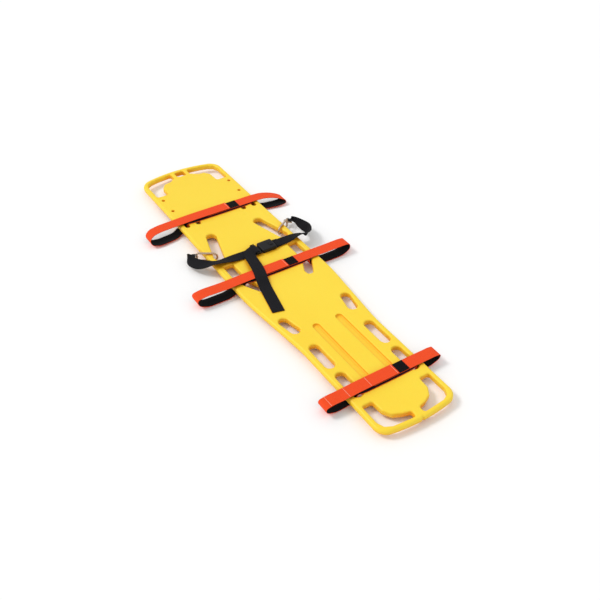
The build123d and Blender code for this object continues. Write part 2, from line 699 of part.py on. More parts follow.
with BuildPart() as push_button:
    with BuildSketch(flat_plane(BUTTON_BASE)):
        with Locations((BUTTON_X, 0)):
            RectangleRounded(BUTTON_L, BUTTON_W, BUTTON_CORNER_R)
    extrude(amount=BUTTON_TOP - BUTTON_BASE)
    fillet(push_button.edges().group_by(Axis.Z)[-1], 0.8)
    # pressing rib
    with BuildSketch(flat_plane(PAWL_Z + 2.0)):
        span(60.2, 62, -6, 6)
    extrude(amount=BUTTON_BASE - PAWL_Z - 2.0)
    # retaining strips under the cover, and the necks that join them to the
    # button: (depth below the cover top, distance from the middle, width)
    for depth, strip_y, strip_w in ((3.6, 11.25, 5.5), (2.3, 10, 3)):
        with BuildSketch(flat_plane(COVER_TOP - depth)):
            with Locations((BUTTON_X, strip_y), (BUTTON_X, -strip_y)):
                Rectangle(14, strip_w)
        extrude(amount=1.4)
save(push_button, "push_button")

with BuildPart() as button_spring:
    with BuildLine() as button_coil:
        Helix(pitch=2.2, height=8.8, radius=2.2, center=(67, BK_Y, FRAME_TOP + 0.6),
              direction=(0, 0, 1))
    with BuildSketch(Plane(origin=button_coil.line @ 0, z_dir=button_coil.line % 0)):
        Circle(0.4)
    sweep()
save(button_spring, "button_spring")

# ------------------------------------------------------------------
# Harness webbing
# ------------------------------------------------------------------
HARNESS_T = 2.2
BUCKLE_WEB = 47.4       # width of the webbing at the buckle

# folds on the buckle's centre line: (x, z)
FRAME_FOLD = ((106, 46.7), (94, 48.4), (85.8, 48.4), (84.5, 47.9), (84, 46.6), (84, 44.0),
              (84.5, 42.7), (85.8, 42.2), (94, 42.2), (106, 44.2))
BAR_FOLD = ((-30, 43.6), (-7.2, 43.6), (-5, 44.3), (-4.1, 46.2), (-4.1, 54.8), (-4.9, 56.8),
            (-7, 57.6), (-15.5, 57.6), (-18.5, 56.8), (-21, 55.0), (-25.5, 52.6))


def eye_point(side, distance, z):
    return Vector(*HOOK_AT[side], z) + hook_outward(side) * distance


def smooth(keys, per=4):
    """Catmull-Rom samples through (point, width direction, width) keys."""
    keys = [(Vector(*point), Vector(*width_dir).normalized(), width)
            for point, width_dir, width in keys]
    padded = [keys[0]] + keys + [keys[-1]]
    sections = []
    for before, start, end, after in zip(padded, padded[1:], padded[2:], padded[3:]):
        p0, p1, p2, p3 = before[0], start[0], end[0], after[0]
        for j in range(per):
            t = j / per
            point = (p1 * 2 + (p2 - p0) * t + (p0 * 2 - p1 * 5 + p2 * 4 - p3) * t ** 2
                     + (p1 * 3 - p0 - p2 * 3 + p3) * t ** 3) * 0.5
            width_dir = (start[1] * (1 - t) + end[1] * t).normalized()
            sections.append((point, width_dir, start[2] * (1 - t) + end[2] * t))
    sections.append(keys[-1])
    return sections


def eye_wrap(side):
    """Sections of a strap end folded round the bar of the hook's eye, listed
    from the strap side to the free end."""
    outward = hook_outward(side)
    width_dir = Vector(-outward.Y, outward.X, 0) * side
    near = EYE_S - EYE_BAR - 0.3 - HARNESS_T / 2
    high = EYE_T / 2 + 0.3 + HARNESS_T / 2
    # (distance out from the board's edge, height from the eye's middle)
    fold = ((EYE_S + 13, -1.4), (EYE_S + 6, -high - 0.1), (near + 1.8, -high),
            (near + 0.5, -high + 0.5), (near, -high + 1.8), (near, high - 1.8),
            (near + 0.5, high - 0.5), (near + 1.8, high), (EYE_S + 6, high + 0.1),
            (EYE_S + 13, 1.4))
    return [(eye_point(side, distance, EYE_Z + z), width_dir, EYE_WEB) for distance, z in fold]


def buckle_sections(points):
    return [(Vector(x, BK_Y, z), Vector(0, 1, 0), BUCKLE_WEB) for x, z in points]


# keys of the harness runs: (point, width direction, width)
# right run, from the buckle frame out over the side and round to the hook
RIGHT_RUN = (
    ((118, 165.5, 44.8), (0, 1, 0), 47.4),
    ((132, 165.5, 45.0), (0, 1, 0), 47.4),
    ((150, 166, 45.6), (0, 1, -0.05), 47),
    ((178, 165.5, 49.5), (0.1, 0.96, -0.22), 46.5),
    ((204, 163, 53), (0.26, 0.86, -0.4), 46),
    ((232, 160, 50), (0.36, 0.74, -0.56), 46),
    ((255, 164, 43), (0.2, 0.6, -0.78), 46),
    ((271, 180, 36), (-0.2, 0.4, -0.9), 46),
    ((279, 206, 32), (-0.52, 0.12, -0.85), 45),
    ((277, 236, 29.5), (-0.66, 0, -0.74), 42),
    ((274, 262, 28.5), (-0.5, 0.05, -0.86), 37),
    ((272, 282, 28), (-0.22, 0.12, -0.97), 32.5),
    ((268, 296, 27.6), (-0.15, 0.35, -0.92), 30),
    (eye_point(1, EYE_S + 20, 26.9), (-0.45, 0.75, -0.45), EYE_WEB),
    (eye_point(1, EYE_S + 15, 26.6), (-0.515, 0.857, 0), EYE_WEB),
)
# left run, from the adjuster bar out over the side and round to the hook
LEFT_RUN = (
    ((-42, 165, 44.0), (0, 1, 0), 47.2),
    ((-66, 165.5, 44.1), (0, 1, 0), 47),
    ((-100, 166, 45.2), (0.03, 1, -0.03), 47),
    ((-140, 166, 48.5), (0.13, 0.96, -0.18), 46.5),
    ((-172, 167, 51.5), (0.28, 0.88, -0.33), 46),
    ((-204, 174, 52), (0.45, 0.82, -0.3), 46),
    ((-230, 189, 46), (0.62, 0.75, 0.1), 46),
    ((-250, 211, 38), (0.78, 0.42, 0.45), 46),
    ((-262, 237, 32.5), (0.82, 0.0, 0.57), 44),
    ((-268, 259, 30), (0.7, -0.05, 0.71), 39),
    ((-270, 275, 29), (0.4, 0, 0.92), 34),
    ((-267.5, 288, 28.3), (0.18, 0.25, 0.95), 30),
    (eye_point(-1, EYE_S + 20, 27.3), (0.45, 0.75, 0.45), EYE_WEB),
    (eye_point(-1, EYE_S + 15, 26.6), (0.515, 0.857, 0), EYE_WEB),
)
# free tail, from the adjuster bar towards the foot end over the hip strap
TAIL = (
    ((-32, 165, 51.7), (0, 1, 0), 47.4),
    ((-41, 158, 51.6), (-0.35, 0.94, 0), 48),
    ((-51, 144, 51.4), (-0.75, 0.66, 0), 48),
    ((-57, 122, 51.6), (-0.96, 0.25, 0), 48),
    ((-62, 95, 53.6), (-1, 0.22, 0), 49),
    ((-70, 58, 55.2), (-1, 0.25, 0), 50),
    ((-78, 25, 55.4), (-1, 0.27, 0), 50),
    ((-87, -6, 53.4), (-1, 0.29, 0), 50),
    ((-98, -50, 44.0), (-1, 0.28, 0), 50),
    ((-110, -105, 42.4), (-1, 0.26, 0), 50),
    ((-122, -160, 42.3), (-1, 0.24, 0), 50),
    ((-133, -208, 42.3), (-1, 0.24, 0), 50),
)

harness_straps = {
    "harness_strap_right": buckle_sections(FRAME_FOLD) + smooth(RIGHT_RUN) + eye_wrap(1),
    "harness_strap_left": (eye_wrap(-1)[::-1] + smooth(LEFT_RUN)[::-1]
                           + buckle_sections(BAR_FOLD) + smooth(TAIL)),
}
for harness_name, harness_sections in harness_straps.items():
    with BuildPart() as harness:
        band(harness_sections, -HARNESS_T / 2, HARNESS_T / 2)
    save(harness, harness_name)
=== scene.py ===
# A yellow moulded rescue backboard lying flat on a pale floor, with three orange
# body straps, and a black buckled harness clipped to it by two snap hooks.
# The head end points to +Y, the foot end to -Y, the wearer's face of the board is
# up (+Z), and "right" means +X.  Shapes are written in millimetres and turned
# into metres when a mesh is made.  Materials, lights and camera are in metres.
import math
import random
from collections import namedtuple

import bmesh
import bpy
import numpy as np
from mathutils import Matrix, Vector
from mathutils.geometry import delaunay_2d_cdt


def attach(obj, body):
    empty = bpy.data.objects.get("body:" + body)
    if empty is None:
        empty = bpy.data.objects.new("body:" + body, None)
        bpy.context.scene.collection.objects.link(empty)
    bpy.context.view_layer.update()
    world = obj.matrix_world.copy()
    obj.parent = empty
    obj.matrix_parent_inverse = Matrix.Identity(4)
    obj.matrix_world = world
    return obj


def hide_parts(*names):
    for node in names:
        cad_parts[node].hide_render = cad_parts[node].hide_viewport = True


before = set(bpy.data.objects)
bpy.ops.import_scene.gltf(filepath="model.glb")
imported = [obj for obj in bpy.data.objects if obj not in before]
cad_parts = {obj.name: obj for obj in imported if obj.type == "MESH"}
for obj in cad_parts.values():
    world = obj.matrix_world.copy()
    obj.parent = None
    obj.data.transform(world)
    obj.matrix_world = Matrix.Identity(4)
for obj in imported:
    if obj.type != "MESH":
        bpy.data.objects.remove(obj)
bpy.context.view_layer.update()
random.seed(7)  # the shapes below draw nothing from it
MM = 0.001


# ------------------------------------------------------------------
# vectors and paths
# ------------------------------------------------------------------

def V(*parts):
    return np.array(parts, dtype=float)


def unit(vector):
    length = np.linalg.norm(vector)
    return vector / length if length > 1e-12 else vector


def catmull(points, per):
    """Smooth curve through the points, with per steps between neighbours."""
    p = [np.array(point, dtype=float) for point in points]
    p = [2 * p[0] - p[1]] + p + [2 * p[-1] - p[-2]]
    out = []
    for i in range(1, len(p) - 2):
        # tangents weighted by chord length, so uneven spacing makes no loops
        before, chord, after = (max(np.linalg.norm(p[i + k + 1][:3] - p[i + k][:3]), 1e-6)
                                for k in (-1, 0, 1))
        leave = ((p[i + 1] - p[i]) / chord * before
                 + (p[i] - p[i - 1]) / before * chord) / (before + chord) * chord
        arrive = ((p[i + 2] - p[i + 1]) / after * chord
                  + (p[i + 1] - p[i]) / chord * after) / (chord + after) * chord
        for j in range(per):
            t = j / per
            out.append((2 * t**3 - 3 * t**2 + 1) * p[i] + (t**3 - 2 * t**2 + t) * leave
                       + (-2 * t**3 + 3 * t**2) * p[i + 1] + (t**3 - t**2) * arrive)
    out.append(p[-2])
    return np.array(out)


def resample(path, step):
    """Even spacing.  Path rows: x, y, z, then any columns that ride along."""
    path = np.asarray(path, dtype=float)
    gaps = np.linalg.norm(np.diff(path[:, :3], axis=0), axis=1)
    path = path[np.concatenate([[True], gaps > 1e-6])]
    gaps = np.linalg.norm(np.diff(path[:, :3], axis=0), axis=1)
    run = np.concatenate([[0], np.cumsum(gaps)])
    count = max(int(round(run[-1] / step)), 2)
    along = np.linspace(0, run[-1], count + 1)
    columns = [np.interp(along, run, path[:, k]) for k in range(path.shape[1])]
    return np.stack(columns, 1), along


def smooth_rows(rows, passes):
    rows = rows.copy()
    for _ in range(passes):
        rows[1:-1] = (rows[:-2] + 2 * rows[1:-1] + rows[2:]) / 4
    return rows


def round_corners(points, radius, steps=6):
    """Open path with its inner corners replaced by short curves."""
    points = [np.array(point, dtype=float) for point in points]
    out = [points[0]]
    for a, b, c in zip(points, points[1:], points[2:]):
        back, ahead = a - b, c - b
        back_len, ahead_len = np.linalg.norm(back[:3]), np.linalg.norm(ahead[:3])
        reach = min(radius, 0.48 * back_len, 0.48 * ahead_len)
        start, end = b + back / back_len * reach, b + ahead / ahead_len * reach
        for i in range(steps + 1):
            t = i / steps
            out.append(start * (1 - t)**2 + b * 2 * t * (1 - t) + end * t**2)
    out.append(points[-1])
    return np.array(out)


def arc_points(centre, radius, start, sweep, steps, first=0, last=None):
    """Points first to last of an arc cut into steps; angles in radians."""
    last = steps if last is None else last
    angles = [start + sweep * k / steps for k in range(first, last + 1)]
    return [centre + radius * V(math.cos(t), math.sin(t)) for t in angles]


def degree_arc(x, y, radius, start, end, steps):
    """Arc as (x, y) pairs, both ends included; angles in degrees."""
    angles = [math.radians(start + (end - start) * i / steps) for i in range(steps + 1)]
    return [(x + radius * math.cos(t), y + radius * math.sin(t)) for t in angles]


def quarter(radius, steps):
    """(inset, drop) pairs of a rounded edge, starting at its outermost point."""
    angles = [math.radians(90 * k / steps) for k in range(steps + 1)]
    return [(radius * (1 - math.cos(t)), radius * (1 - math.sin(t))) for t in angles]


# ------------------------------------------------------------------
# meshes
# ------------------------------------------------------------------

def link_object(name, mesh):
    ob = bpy.data.objects.new(name, mesh)
    bpy.context.scene.collection.objects.link(ob)
    return ob


def make_object(name, verts, faces, uvs=None, smooth=True, angle=None):
    """Verts in millimetres; uvs has one (u, v) per vertex."""
    mesh = bpy.data.meshes.new(name)
    mesh.from_pydata([tuple(float(c) * MM for c in v) for v in verts], [],
                     [tuple(int(i) for i in f) for f in faces])
    mesh.update()
    if uvs is not None:
        layer = mesh.uv_layers.new(name="UVMap")
        index = np.empty(len(mesh.loops), dtype=np.int32)
        mesh.loops.foreach_get("vertex_index", index)
        uvs = np.asarray(uvs, dtype=float)
        layer.data.foreach_set("uv", uvs[index].ravel().astype(np.float32))
    bm = bmesh.new()
    bm.from_mesh(mesh)
    bmesh.ops.recalc_face_normals(bm, faces=bm.faces)
    bm.to_mesh(mesh)
    bm.free()
    for polygon in mesh.polygons:
        polygon.use_smooth = smooth
    ob = link_object(name, mesh)
    if angle is not None:
        mesh.set_sharp_from_angle(angle=math.radians(angle))
    return ob


def walls(size, rings, start=0, closed=False):
    """Quads between stacked rings of equal size; closed joins last to first."""
    faces = []
    for j in range(rings if closed else rings - 1):
        near = start + j * size
        far = start + (j + 1) % rings * size
        for k in range(size):
            after = (k + 1) % size
            faces.append((near + k, near + after, far + after, far + k))
    return faces


# A swept ribbon's stations: middle points, directions across and out of its
# face, half widths, and distances along it.
Band = namedtuple("Band", "centre across normal half along")

RIBBON_ACROSS = 12   # segments over the width
RIBBON_EDGE = 1.6    # width of the rounded margin


def ribbon(name, path, low, high, square=True, step=3.0, smoothing=3):
    """Flat woven band.  Path rows: x, y, z, width direction x, y, z, width.
    Low and high are distances along the face normal."""
    rows, along = resample(path, step)
    rows = smooth_rows(rows, smoothing)
    count = len(rows)
    centre = rows[:, :3]
    tangent = np.gradient(centre, axis=0)
    tangent /= np.maximum(np.linalg.norm(tangent, axis=1, keepdims=True), 1e-9)
    across = rows[:, 3:6].copy()
    if square:
        across = across - tangent * (across * tangent).sum(1, keepdims=True)
    across /= np.maximum(np.linalg.norm(across, axis=1, keepdims=True), 1e-9)
    normal = np.cross(across, tangent)
    normal /= np.maximum(np.linalg.norm(normal, axis=1, keepdims=True), 1e-9)
    half = rows[:, 6] / 2
    thick = (high - low) / 2
    mid = (high + low) / 2

    # section as (place across, place through): outer face, edge, inner face, edge
    m = RIBBON_ACROSS
    face = []
    for v in np.linspace(-1, 1, m + 1):
        margin = max(0.0, 1 - ((1 - abs(v)) * half.mean() / RIBBON_EDGE))
        face.append((v, 1 - 0.35 * margin * margin))
    section = face + [(1.012, 0.0)] + [(v, -q) for v, q in reversed(face)] + [(-1.012, 0.0)]

    verts, uvs = [], []
    for i in range(count):
        for v, q in section:
            verts.append(centre[i] + across[i] * half[i] * v + normal[i] * (mid + q * thick))
            uvs.append((along[i] * MM, v * half[i] * MM + (0.2 if q < 0 else 0.0)))
    size = len(section)
    faces = walls(size, count)
    # end caps, as strips between the two faces
    for base in (0, (count - 1) * size):
        for k in range(m):
            a, d = base + k, base + (2 * m + 2) - k
            faces.append((a, a + 1, d - 1, d))
        faces.append((base + m, base + m + 1, base + m + 2))
        faces.append((base, base + 2 * m + 2, base + 2 * m + 3))
    ob = make_object(name, verts, faces, uvs, angle=50)
    return ob, Band(centre, across, normal, half, along)


def tube(name, path, radius, sides, step, smoothing, closed=False):
    """Round bar along (x, y, z) rows.  A list of radii is spread over its length."""
    path = np.asarray(path, dtype=float)
    if closed:
        path = np.vstack([path, path[:1]])
    rows, _ = resample(path, step)
    if closed:
        rows = rows[:-1]
        for _ in range(smoothing):
            rows = (np.roll(rows, 1, 0) + 2 * rows + np.roll(rows, -1, 0)) / 4
        tangent = np.roll(rows, -1, 0) - np.roll(rows, 1, 0)
    else:
        rows = smooth_rows(rows, smoothing)
        tangent = np.gradient(rows, axis=0)
    count = len(rows)
    tangent /= np.linalg.norm(tangent, axis=1, keepdims=True)
    if np.ndim(radius):
        radii = np.interp(np.linspace(0, 1, count), np.linspace(0, 1, len(radius)), radius)
    else:
        radii = np.full(count, radius)
    reference = V(0, 0, 1) if abs(tangent[0][2]) < 0.9 else V(1, 0, 0)
    a = unit(np.cross(tangent[0], reference))
    verts = []
    for i in range(count):
        # the frame is carried along, so the tube doesn't twist
        a = unit(a - tangent[i] * np.dot(a, tangent[i]))
        b = np.cross(tangent[i], a)
        for k in range(sides):
            t = 2 * math.pi * k / sides
            verts.append(rows[i] + (a * math.cos(t) + b * math.sin(t)) * radii[i])
    faces = walls(sides, count, closed=closed)
    if not closed:
        for sign, i in ((-1, 0), (1, count - 1)):
            # slightly domed end
            verts.append(rows[i] + tangent[i] * sign * min(0.35 * radii[i], 0.8))
            tip = len(verts) - 1
            for k in range(sides):
                faces.append((i * sides + k, i * sides + (k + 1) % sides, tip))
    return make_object(name, verts, faces, angle=60)


def join(name, parts):
    """One object from several closed shells that keep their own materials."""
    bm = bmesh.new()
    materials = []
    for part in parts:
        mesh = part.data.copy()
        for polygon in mesh.polygons:
            used = part.data.materials
            material = used[polygon.material_index] if used else None
            if material not in materials:
                materials.append(material)
            polygon.material_index = materials.index(material)
        bm.from_mesh(mesh)
    joined = bpy.data.meshes.new(name)
    bm.to_mesh(joined)
    bm.free()
    for material in materials:
        joined.materials.append(material)
    ob = link_object(name, joined)
    for part in parts:
        bpy.data.objects.remove(part, do_unlink=True)
    return ob


def finish_piece(ob, material, body, node):
    """Paint a piece, tie it to its moving body and let it stand for a CAD node."""
    ob.data.materials.clear()
    ob.data.materials.append(material)
    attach(ob, body)
    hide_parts(node)


# ------------------------------------------------------------------
# materials
# ------------------------------------------------------------------

def srgb(*levels):
    """Linear RGBA from 0-255 display levels."""
    shares = [level / 255 for level in levels]
    return tuple(c / 12.92 if c <= 0.04045 else ((c + 0.055) / 1.055) ** 2.4
                 for c in shares) + (1.0,)


class Shader:
    """A material round one Principled node, with short calls for the nodes used here."""

    def __init__(self, name):
        self.material = bpy.data.materials.new(name)
        self.material.use_nodes = True
        self.tree = self.material.node_tree
        self.tree.nodes.clear()
        output = self.add("ShaderNodeOutputMaterial")
        self.principled = self.add("ShaderNodeBsdfPrincipled")
        self.tree.links.new(self.principled.outputs[0], output.inputs[0])

    def add(self, kind, **settings):
        node = self.tree.nodes.new(kind)
        for key, value in settings.items():
            setattr(node, key, value)
        return node

    def feed(self, socket, value):
        """Set a socket to a plain value, or link another node's output to it."""
        if isinstance(value, (int, float, tuple)):
            socket.default_value = value
        else:
            self.tree.links.new(value, socket)

    def place(self):
        return self.add("ShaderNodeTexCoord").outputs["Object"]

    def split(self, vector):
        """The first two parts of a vector."""
        node = self.add("ShaderNodeSeparateXYZ")
        self.feed(node.inputs[0], vector)
        return node.outputs[0], node.outputs[1]

    def math(self, operation, *operands):
        node = self.add("ShaderNodeMath", operation=operation)
        for socket, value in zip(node.inputs, operands):
            self.feed(socket, value)
        return node.outputs[0]

    def times(self, value, factor):
        return self.math("MULTIPLY", value, factor)

    def plus(self, value, amount):
        return self.math("ADD", value, amount)

    def wave(self, value):
        """Rectified sine."""
        return self.math("ABSOLUTE", self.math("SINE", value))

    def noise(self, place, scale, detail, roughness):
        node = self.add("ShaderNodeTexNoise")
        node.inputs["Scale"].default_value = scale
        node.inputs["Detail"].default_value = detail
        node.inputs["Roughness"].default_value = roughness
        self.feed(node.inputs["Vector"], place)
        return node.outputs[0]

    def cells(self, place, scale):
        node = self.add("ShaderNodeTexVoronoi")
        node.inputs["Scale"].default_value = scale
        self.feed(node.inputs["Vector"], place)
        return node.outputs[0]

    def ramp(self, factor, start, end):
        """Start and end are (position, colour)."""
        node = self.add("ShaderNodeValToRGB")
        for element, stop in zip(node.color_ramp.elements, (start, end)):
            element.position, element.color = stop
        self.feed(node.inputs[0], factor)
        return node.outputs[0]

    def mask(self, factor, low, high):
        """Black below low, white above high."""
        return self.ramp(factor, start=(low, (0, 0, 0, 1)), end=(high, (1, 1, 1, 1)))

    def mix(self, factor, base, over):
        node = self.add("ShaderNodeMix", data_type="RGBA", blend_type="MIX")
        for index, value in ((0, factor), (6, base), (7, over)):
            self.feed(node.inputs[index], value)
        return node.outputs[2]

    def bump(self, height, strength, distance):
        node = self.add("ShaderNodeBump")
        node.inputs["Strength"].default_value = strength
        node.inputs["Distance"].default_value = distance
        self.feed(node.inputs["Height"], height)
        return node.outputs[0]

    def set(self, **inputs):
        """Feed Principled inputs, named with underscores for spaces."""
        for key, value in inputs.items():
            self.feed(self.principled.inputs[key.replace("_", " ")], value)
        return self.material


def board_plastic():
    """Moulded plastic: fine pebble, faint drag marks, painted orange shade in the hollows."""
    sh = Shader("board_yellow_plastic")
    place = sh.place()
    patches = sh.noise(place, scale=2.6, detail=3.0, roughness=0.55)
    colour = sh.ramp(patches, start=(0.3, (0.95, 0.655, 0.036, 1)),
                     end=(0.7, (0.955, 0.700, 0.044, 1)))
    pebble = sh.noise(place, scale=900.0, detail=2.0, roughness=0.6)
    grain = sh.noise(place, scale=60.0, detail=4.0, roughness=0.6)
    cloud = sh.noise(place, scale=14.0, detail=5.0, roughness=0.6)

    # drag marks: noise drawn out roughly lengthways
    stretch = sh.add("ShaderNodeMapping")
    stretch.inputs["Scale"].default_value = (70, 4, 60)
    stretch.inputs["Rotation"].default_value = (0, 0, 0.35)
    sh.feed(stretch.inputs[0], place)
    drag = sh.noise(stretch.outputs[0], scale=8.0, detail=6.0, roughness=0.7)
    drag = sh.mask(drag, low=0.60, high=0.70)
    colour = sh.mix(sh.times(drag, factor=0.06), colour, over=(0.97, 0.76, 0.16, 1))
    colour = sh.mix(sh.times(cloud, factor=0.10), colour, over=(0.90, 0.56, 0.025, 1))

    # painted shade: hollows are tinted orange, standing in for light bounced inside them
    occlusion = sh.add("ShaderNodeAmbientOcclusion")
    occlusion.samples = 6
    occlusion.inputs["Distance"].default_value = 0.045
    hollow_shade = sh.math("SUBTRACT", 1.0, occlusion.outputs["AO"])
    hollow_shade = sh.math("MINIMUM", sh.times(hollow_shade, factor=2.1), 1.0)
    colour = sh.mix(hollow_shade, colour, over=(0.93, 0.40, 0.006, 1))

    # edges rubbed paler by handling
    geometry = sh.add("ShaderNodeNewGeometry")
    wear = sh.mask(geometry.outputs["Pointiness"], low=0.515, high=0.56)
    wear = sh.times(sh.times(wear, grain), factor=0.22)
    colour = sh.mix(wear, colour, over=(0.97, 0.76, 0.20, 1))

    rough = sh.plus(sh.times(grain, factor=0.12), amount=0.38)
    rough = sh.plus(rough, sh.times(drag, factor=0.06))
    height = sh.plus(sh.times(pebble, factor=0.6), sh.times(grain, factor=1.2))
    height = sh.plus(height, sh.times(cloud, factor=2.5))
    return sh.set(Base_Color=colour, Roughness=rough,
                  Normal=sh.bump(height, strength=0.4, distance=0.0004),
                  Subsurface_Weight=0.10, Subsurface_Radius=(0.012, 0.007, 0.002),
                  Subsurface_Scale=0.5, IOR=1.5, Specular_IOR_Level=0.32)


def webbing(name, light, dark, rib_along, rib_across, sheen):
    """Plain narrow weave drawn from the band's own length and width."""
    sh = Shader(name)
    along, across = sh.split(sh.add("ShaderNodeUVMap").outputs[0])
    ribs = sh.math("DIVIDE", along, rib_along)
    rows = sh.math("DIVIDE", across, rib_across)
    row = sh.math("FLOOR", rows)
    odd = sh.math("MODULO", sh.math("ABSOLUTE", row), 2.0)
    # every second row is shifted by half a rib
    shifted = sh.plus(ribs, sh.times(odd, factor=0.5))
    wave_along = sh.wave(sh.times(shifted, factor=math.pi))
    wave_across = sh.wave(sh.times(rows, factor=math.pi))
    flatten = 0.6  # exponent that broadens the crown of each thread
    weave = sh.math("POWER", sh.times(wave_along, wave_across), flatten)
    place = sh.place()
    patches = sh.noise(place, scale=30.0, detail=3.0, roughness=0.6)
    fibre = sh.noise(place, scale=2500.0, detail=2.0, roughness=0.5)
    colour = sh.mix(weave, dark, light)
    colour = sh.mix(sh.times(patches, factor=0.22), colour, dark)
    height = sh.plus(weave, sh.times(fibre, factor=0.25))
    normal = sh.bump(height, strength=0.75, distance=0.0004)
    rough = sh.plus(sh.times(fibre, factor=0.15), amount=0.67)
    return sh.set(Base_Color=colour, Roughness=rough, Normal=normal, Sheen_Weight=sheen,
                  Sheen_Roughness=0.5, Specular_IOR_Level=0.12)


def loop_pile(name, base, light):
    """Brushed loop face of hook-and-loop tape."""
    sh = Shader(name)
    place = sh.place()
    loops = sh.cells(place, scale=900.0)
    fuzz = sh.noise(place, scale=420.0, detail=5.0, roughness=0.7)
    height = sh.plus(sh.times(loops, factor=0.7), fuzz)
    colour = sh.mix(sh.times(fuzz, factor=0.8), base, light)
    normal = sh.bump(height, strength=0.8, distance=0.0006)
    return sh.set(Base_Color=colour, Roughness=0.9, Normal=normal, Sheen_Weight=0.03,
                  Sheen_Roughness=0.6, Specular_IOR_Level=0.08)


def hook_tape(name, base, light, pitch_x, pitch_y):
    """Rows of small stiff hooks."""
    sh = Shader(name)
    x, y = sh.split(sh.place())
    wave_x = sh.wave(sh.times(x, factor=math.pi / pitch_x))
    wave_y = sh.wave(sh.times(y, factor=math.pi / pitch_y))
    narrow = 2.0  # exponent that thins each hook
    hooks = sh.math("POWER", sh.times(wave_x, wave_y), narrow)
    colour = sh.mix(hooks, base, light)
    normal = sh.bump(hooks, strength=0.9, distance=0.0006)
    return sh.set(Base_Color=colour, Roughness=0.6, Normal=normal, Specular_IOR_Level=0.06)


def metal(name, colour, roughness, spread, anisotropy=0.0):
    """Spread is how much roughness the patches add."""
    sh = Shader(name)
    place = sh.place()
    patches = sh.noise(place, scale=140.0, detail=5.0, roughness=0.65)
    grain = sh.noise(place, scale=1500.0, detail=3.0, roughness=0.6)
    darker = tuple(c * 0.72 for c in colour[:3]) + (1.0,)
    tint = sh.mix(sh.times(patches, factor=0.35), colour, darker)
    rough = sh.plus(sh.times(patches, factor=spread), amount=roughness)
    height = sh.plus(patches, sh.times(grain, factor=0.5))
    normal = sh.bump(height, strength=0.18, distance=0.0002)
    return sh.set(Base_Color=tint, Metallic=1.0, Roughness=rough, Normal=normal,
                  Anisotropic=anisotropy)


def small_plastic(name, colour, roughness):
    """Finely grained plastic; also used for thread."""
    sh = Shader(name)
    place = sh.place()
    grain = sh.noise(place, scale=700.0, detail=3.0, roughness=0.6)
    patches = sh.noise(place, scale=40.0, detail=3.0, roughness=0.6)
    lighter = tuple(min(1, c * 1.5 + 0.001) for c in colour[:3]) + (1.0,)
    tint = sh.mix(sh.times(patches, factor=0.4), colour, lighter)
    rough = sh.plus(sh.times(patches, factor=0.14), amount=roughness)
    normal = sh.bump(grain, strength=0.35, distance=0.0003)
    return sh.set(Base_Color=tint, Roughness=rough, Normal=normal, Specular_IOR_Level=0.28)


def foam():
    sh = Shader("foam")
    cells = sh.cells(sh.place(), scale=500.0)
    colour = sh.ramp(cells, start=(0.0, srgb(214, 202, 160)), end=(1.0, srgb(240, 232, 200)))
    return sh.set(Base_Color=colour, Roughness=0.95,
                  Normal=sh.bump(cells, strength=0.8, distance=0.0008))


BOARD_YELLOW = board_plastic()
ORANGE_WEB = webbing("orange_webbing", light=(0.97, 0.098, 0.020, 1),
                     dark=(0.80, 0.056, 0.010, 1), rib_along=0.0019, rib_across=0.0016,
                     sheen=0.04)
BLACK_WEB = webbing("black_webbing", light=(0.0125, 0.012, 0.0155, 1),
                    dark=(0.003, 0.003, 0.004, 1), rib_along=0.0022, rib_across=0.0018,
                    sheen=0.02)
LOOP_LINING = loop_pile("black_loop_lining", base=(0.004, 0.004, 0.005, 1),
                        light=(0.014, 0.014, 0.017, 1))
HOOK_TAPE = hook_tape("black_hook_tape", base=(0.003, 0.003, 0.004, 1),
                      light=(0.010, 0.010, 0.012, 1), pitch_x=0.0012, pitch_y=0.0014)
# painted reflection: the hook metal's warm tint stands in for orange and yellow reflected from the
# straps and board
HOOK_TINTED_METAL = metal("hook_metal_painted_reflection", colour=(0.62, 0.47, 0.35, 1), roughness=0.20, spread=0.16)
DARK_STEEL = metal("black_coated_steel", colour=(0.030, 0.030, 0.033, 1), roughness=0.34,
                   spread=0.14)
STEEL = metal("plated_steel", colour=(0.60, 0.60, 0.62, 1), roughness=0.26, spread=0.12,
              anisotropy=0.3)
SPRING = metal("spring_steel", colour=(0.55, 0.55, 0.57, 1), roughness=0.22, spread=0.1)
ALUMINIUM = metal("tube_aluminium", colour=(0.80, 0.81, 0.83, 1), roughness=0.35, spread=0.12)
BUCKLE_BLACK = small_plastic("buckle_plastic", colour=(0.004, 0.004, 0.005, 1), roughness=0.42)
BUTTON_BLACK = small_plastic("button_plastic", colour=(0.006, 0.006, 0.008, 1), roughness=0.34)
PLUG = small_plastic("plug_plastic", colour=(0.02, 0.02, 0.02, 1), roughness=0.5)
FOAM = foam()
PALE_THREAD = small_plastic("pale_thread", colour=(0.93, 0.50, 0.36, 1), roughness=0.6)
ORANGE_THREAD = small_plastic("orange_thread", colour=(0.95, 0.17, 0.055, 1), roughness=0.6)
BLACK_THREAD = small_plastic("black_thread", colour=(0.022, 0.022, 0.026, 1), roughness=0.6)

NODE_PAINT = {
    "board_shell": BOARD_YELLOW,
    "foam_core": FOAM,
    "stiffener_tubes": ALUMINIUM,
    "fill_plugs": PLUG,
    "buckle_frame": DARK_STEEL,
    "pawl_pin": STEEL,
    "latch_pawl": STEEL,
    "tongue_plate": DARK_STEEL,
    "adjuster_bar": DARK_STEEL,
    "buckle_cover_upper": BUCKLE_BLACK,
    "buckle_cover_lower": BUCKLE_BLACK,
    "push_button": BUTTON_BLACK,
    "button_spring": SPRING,
}


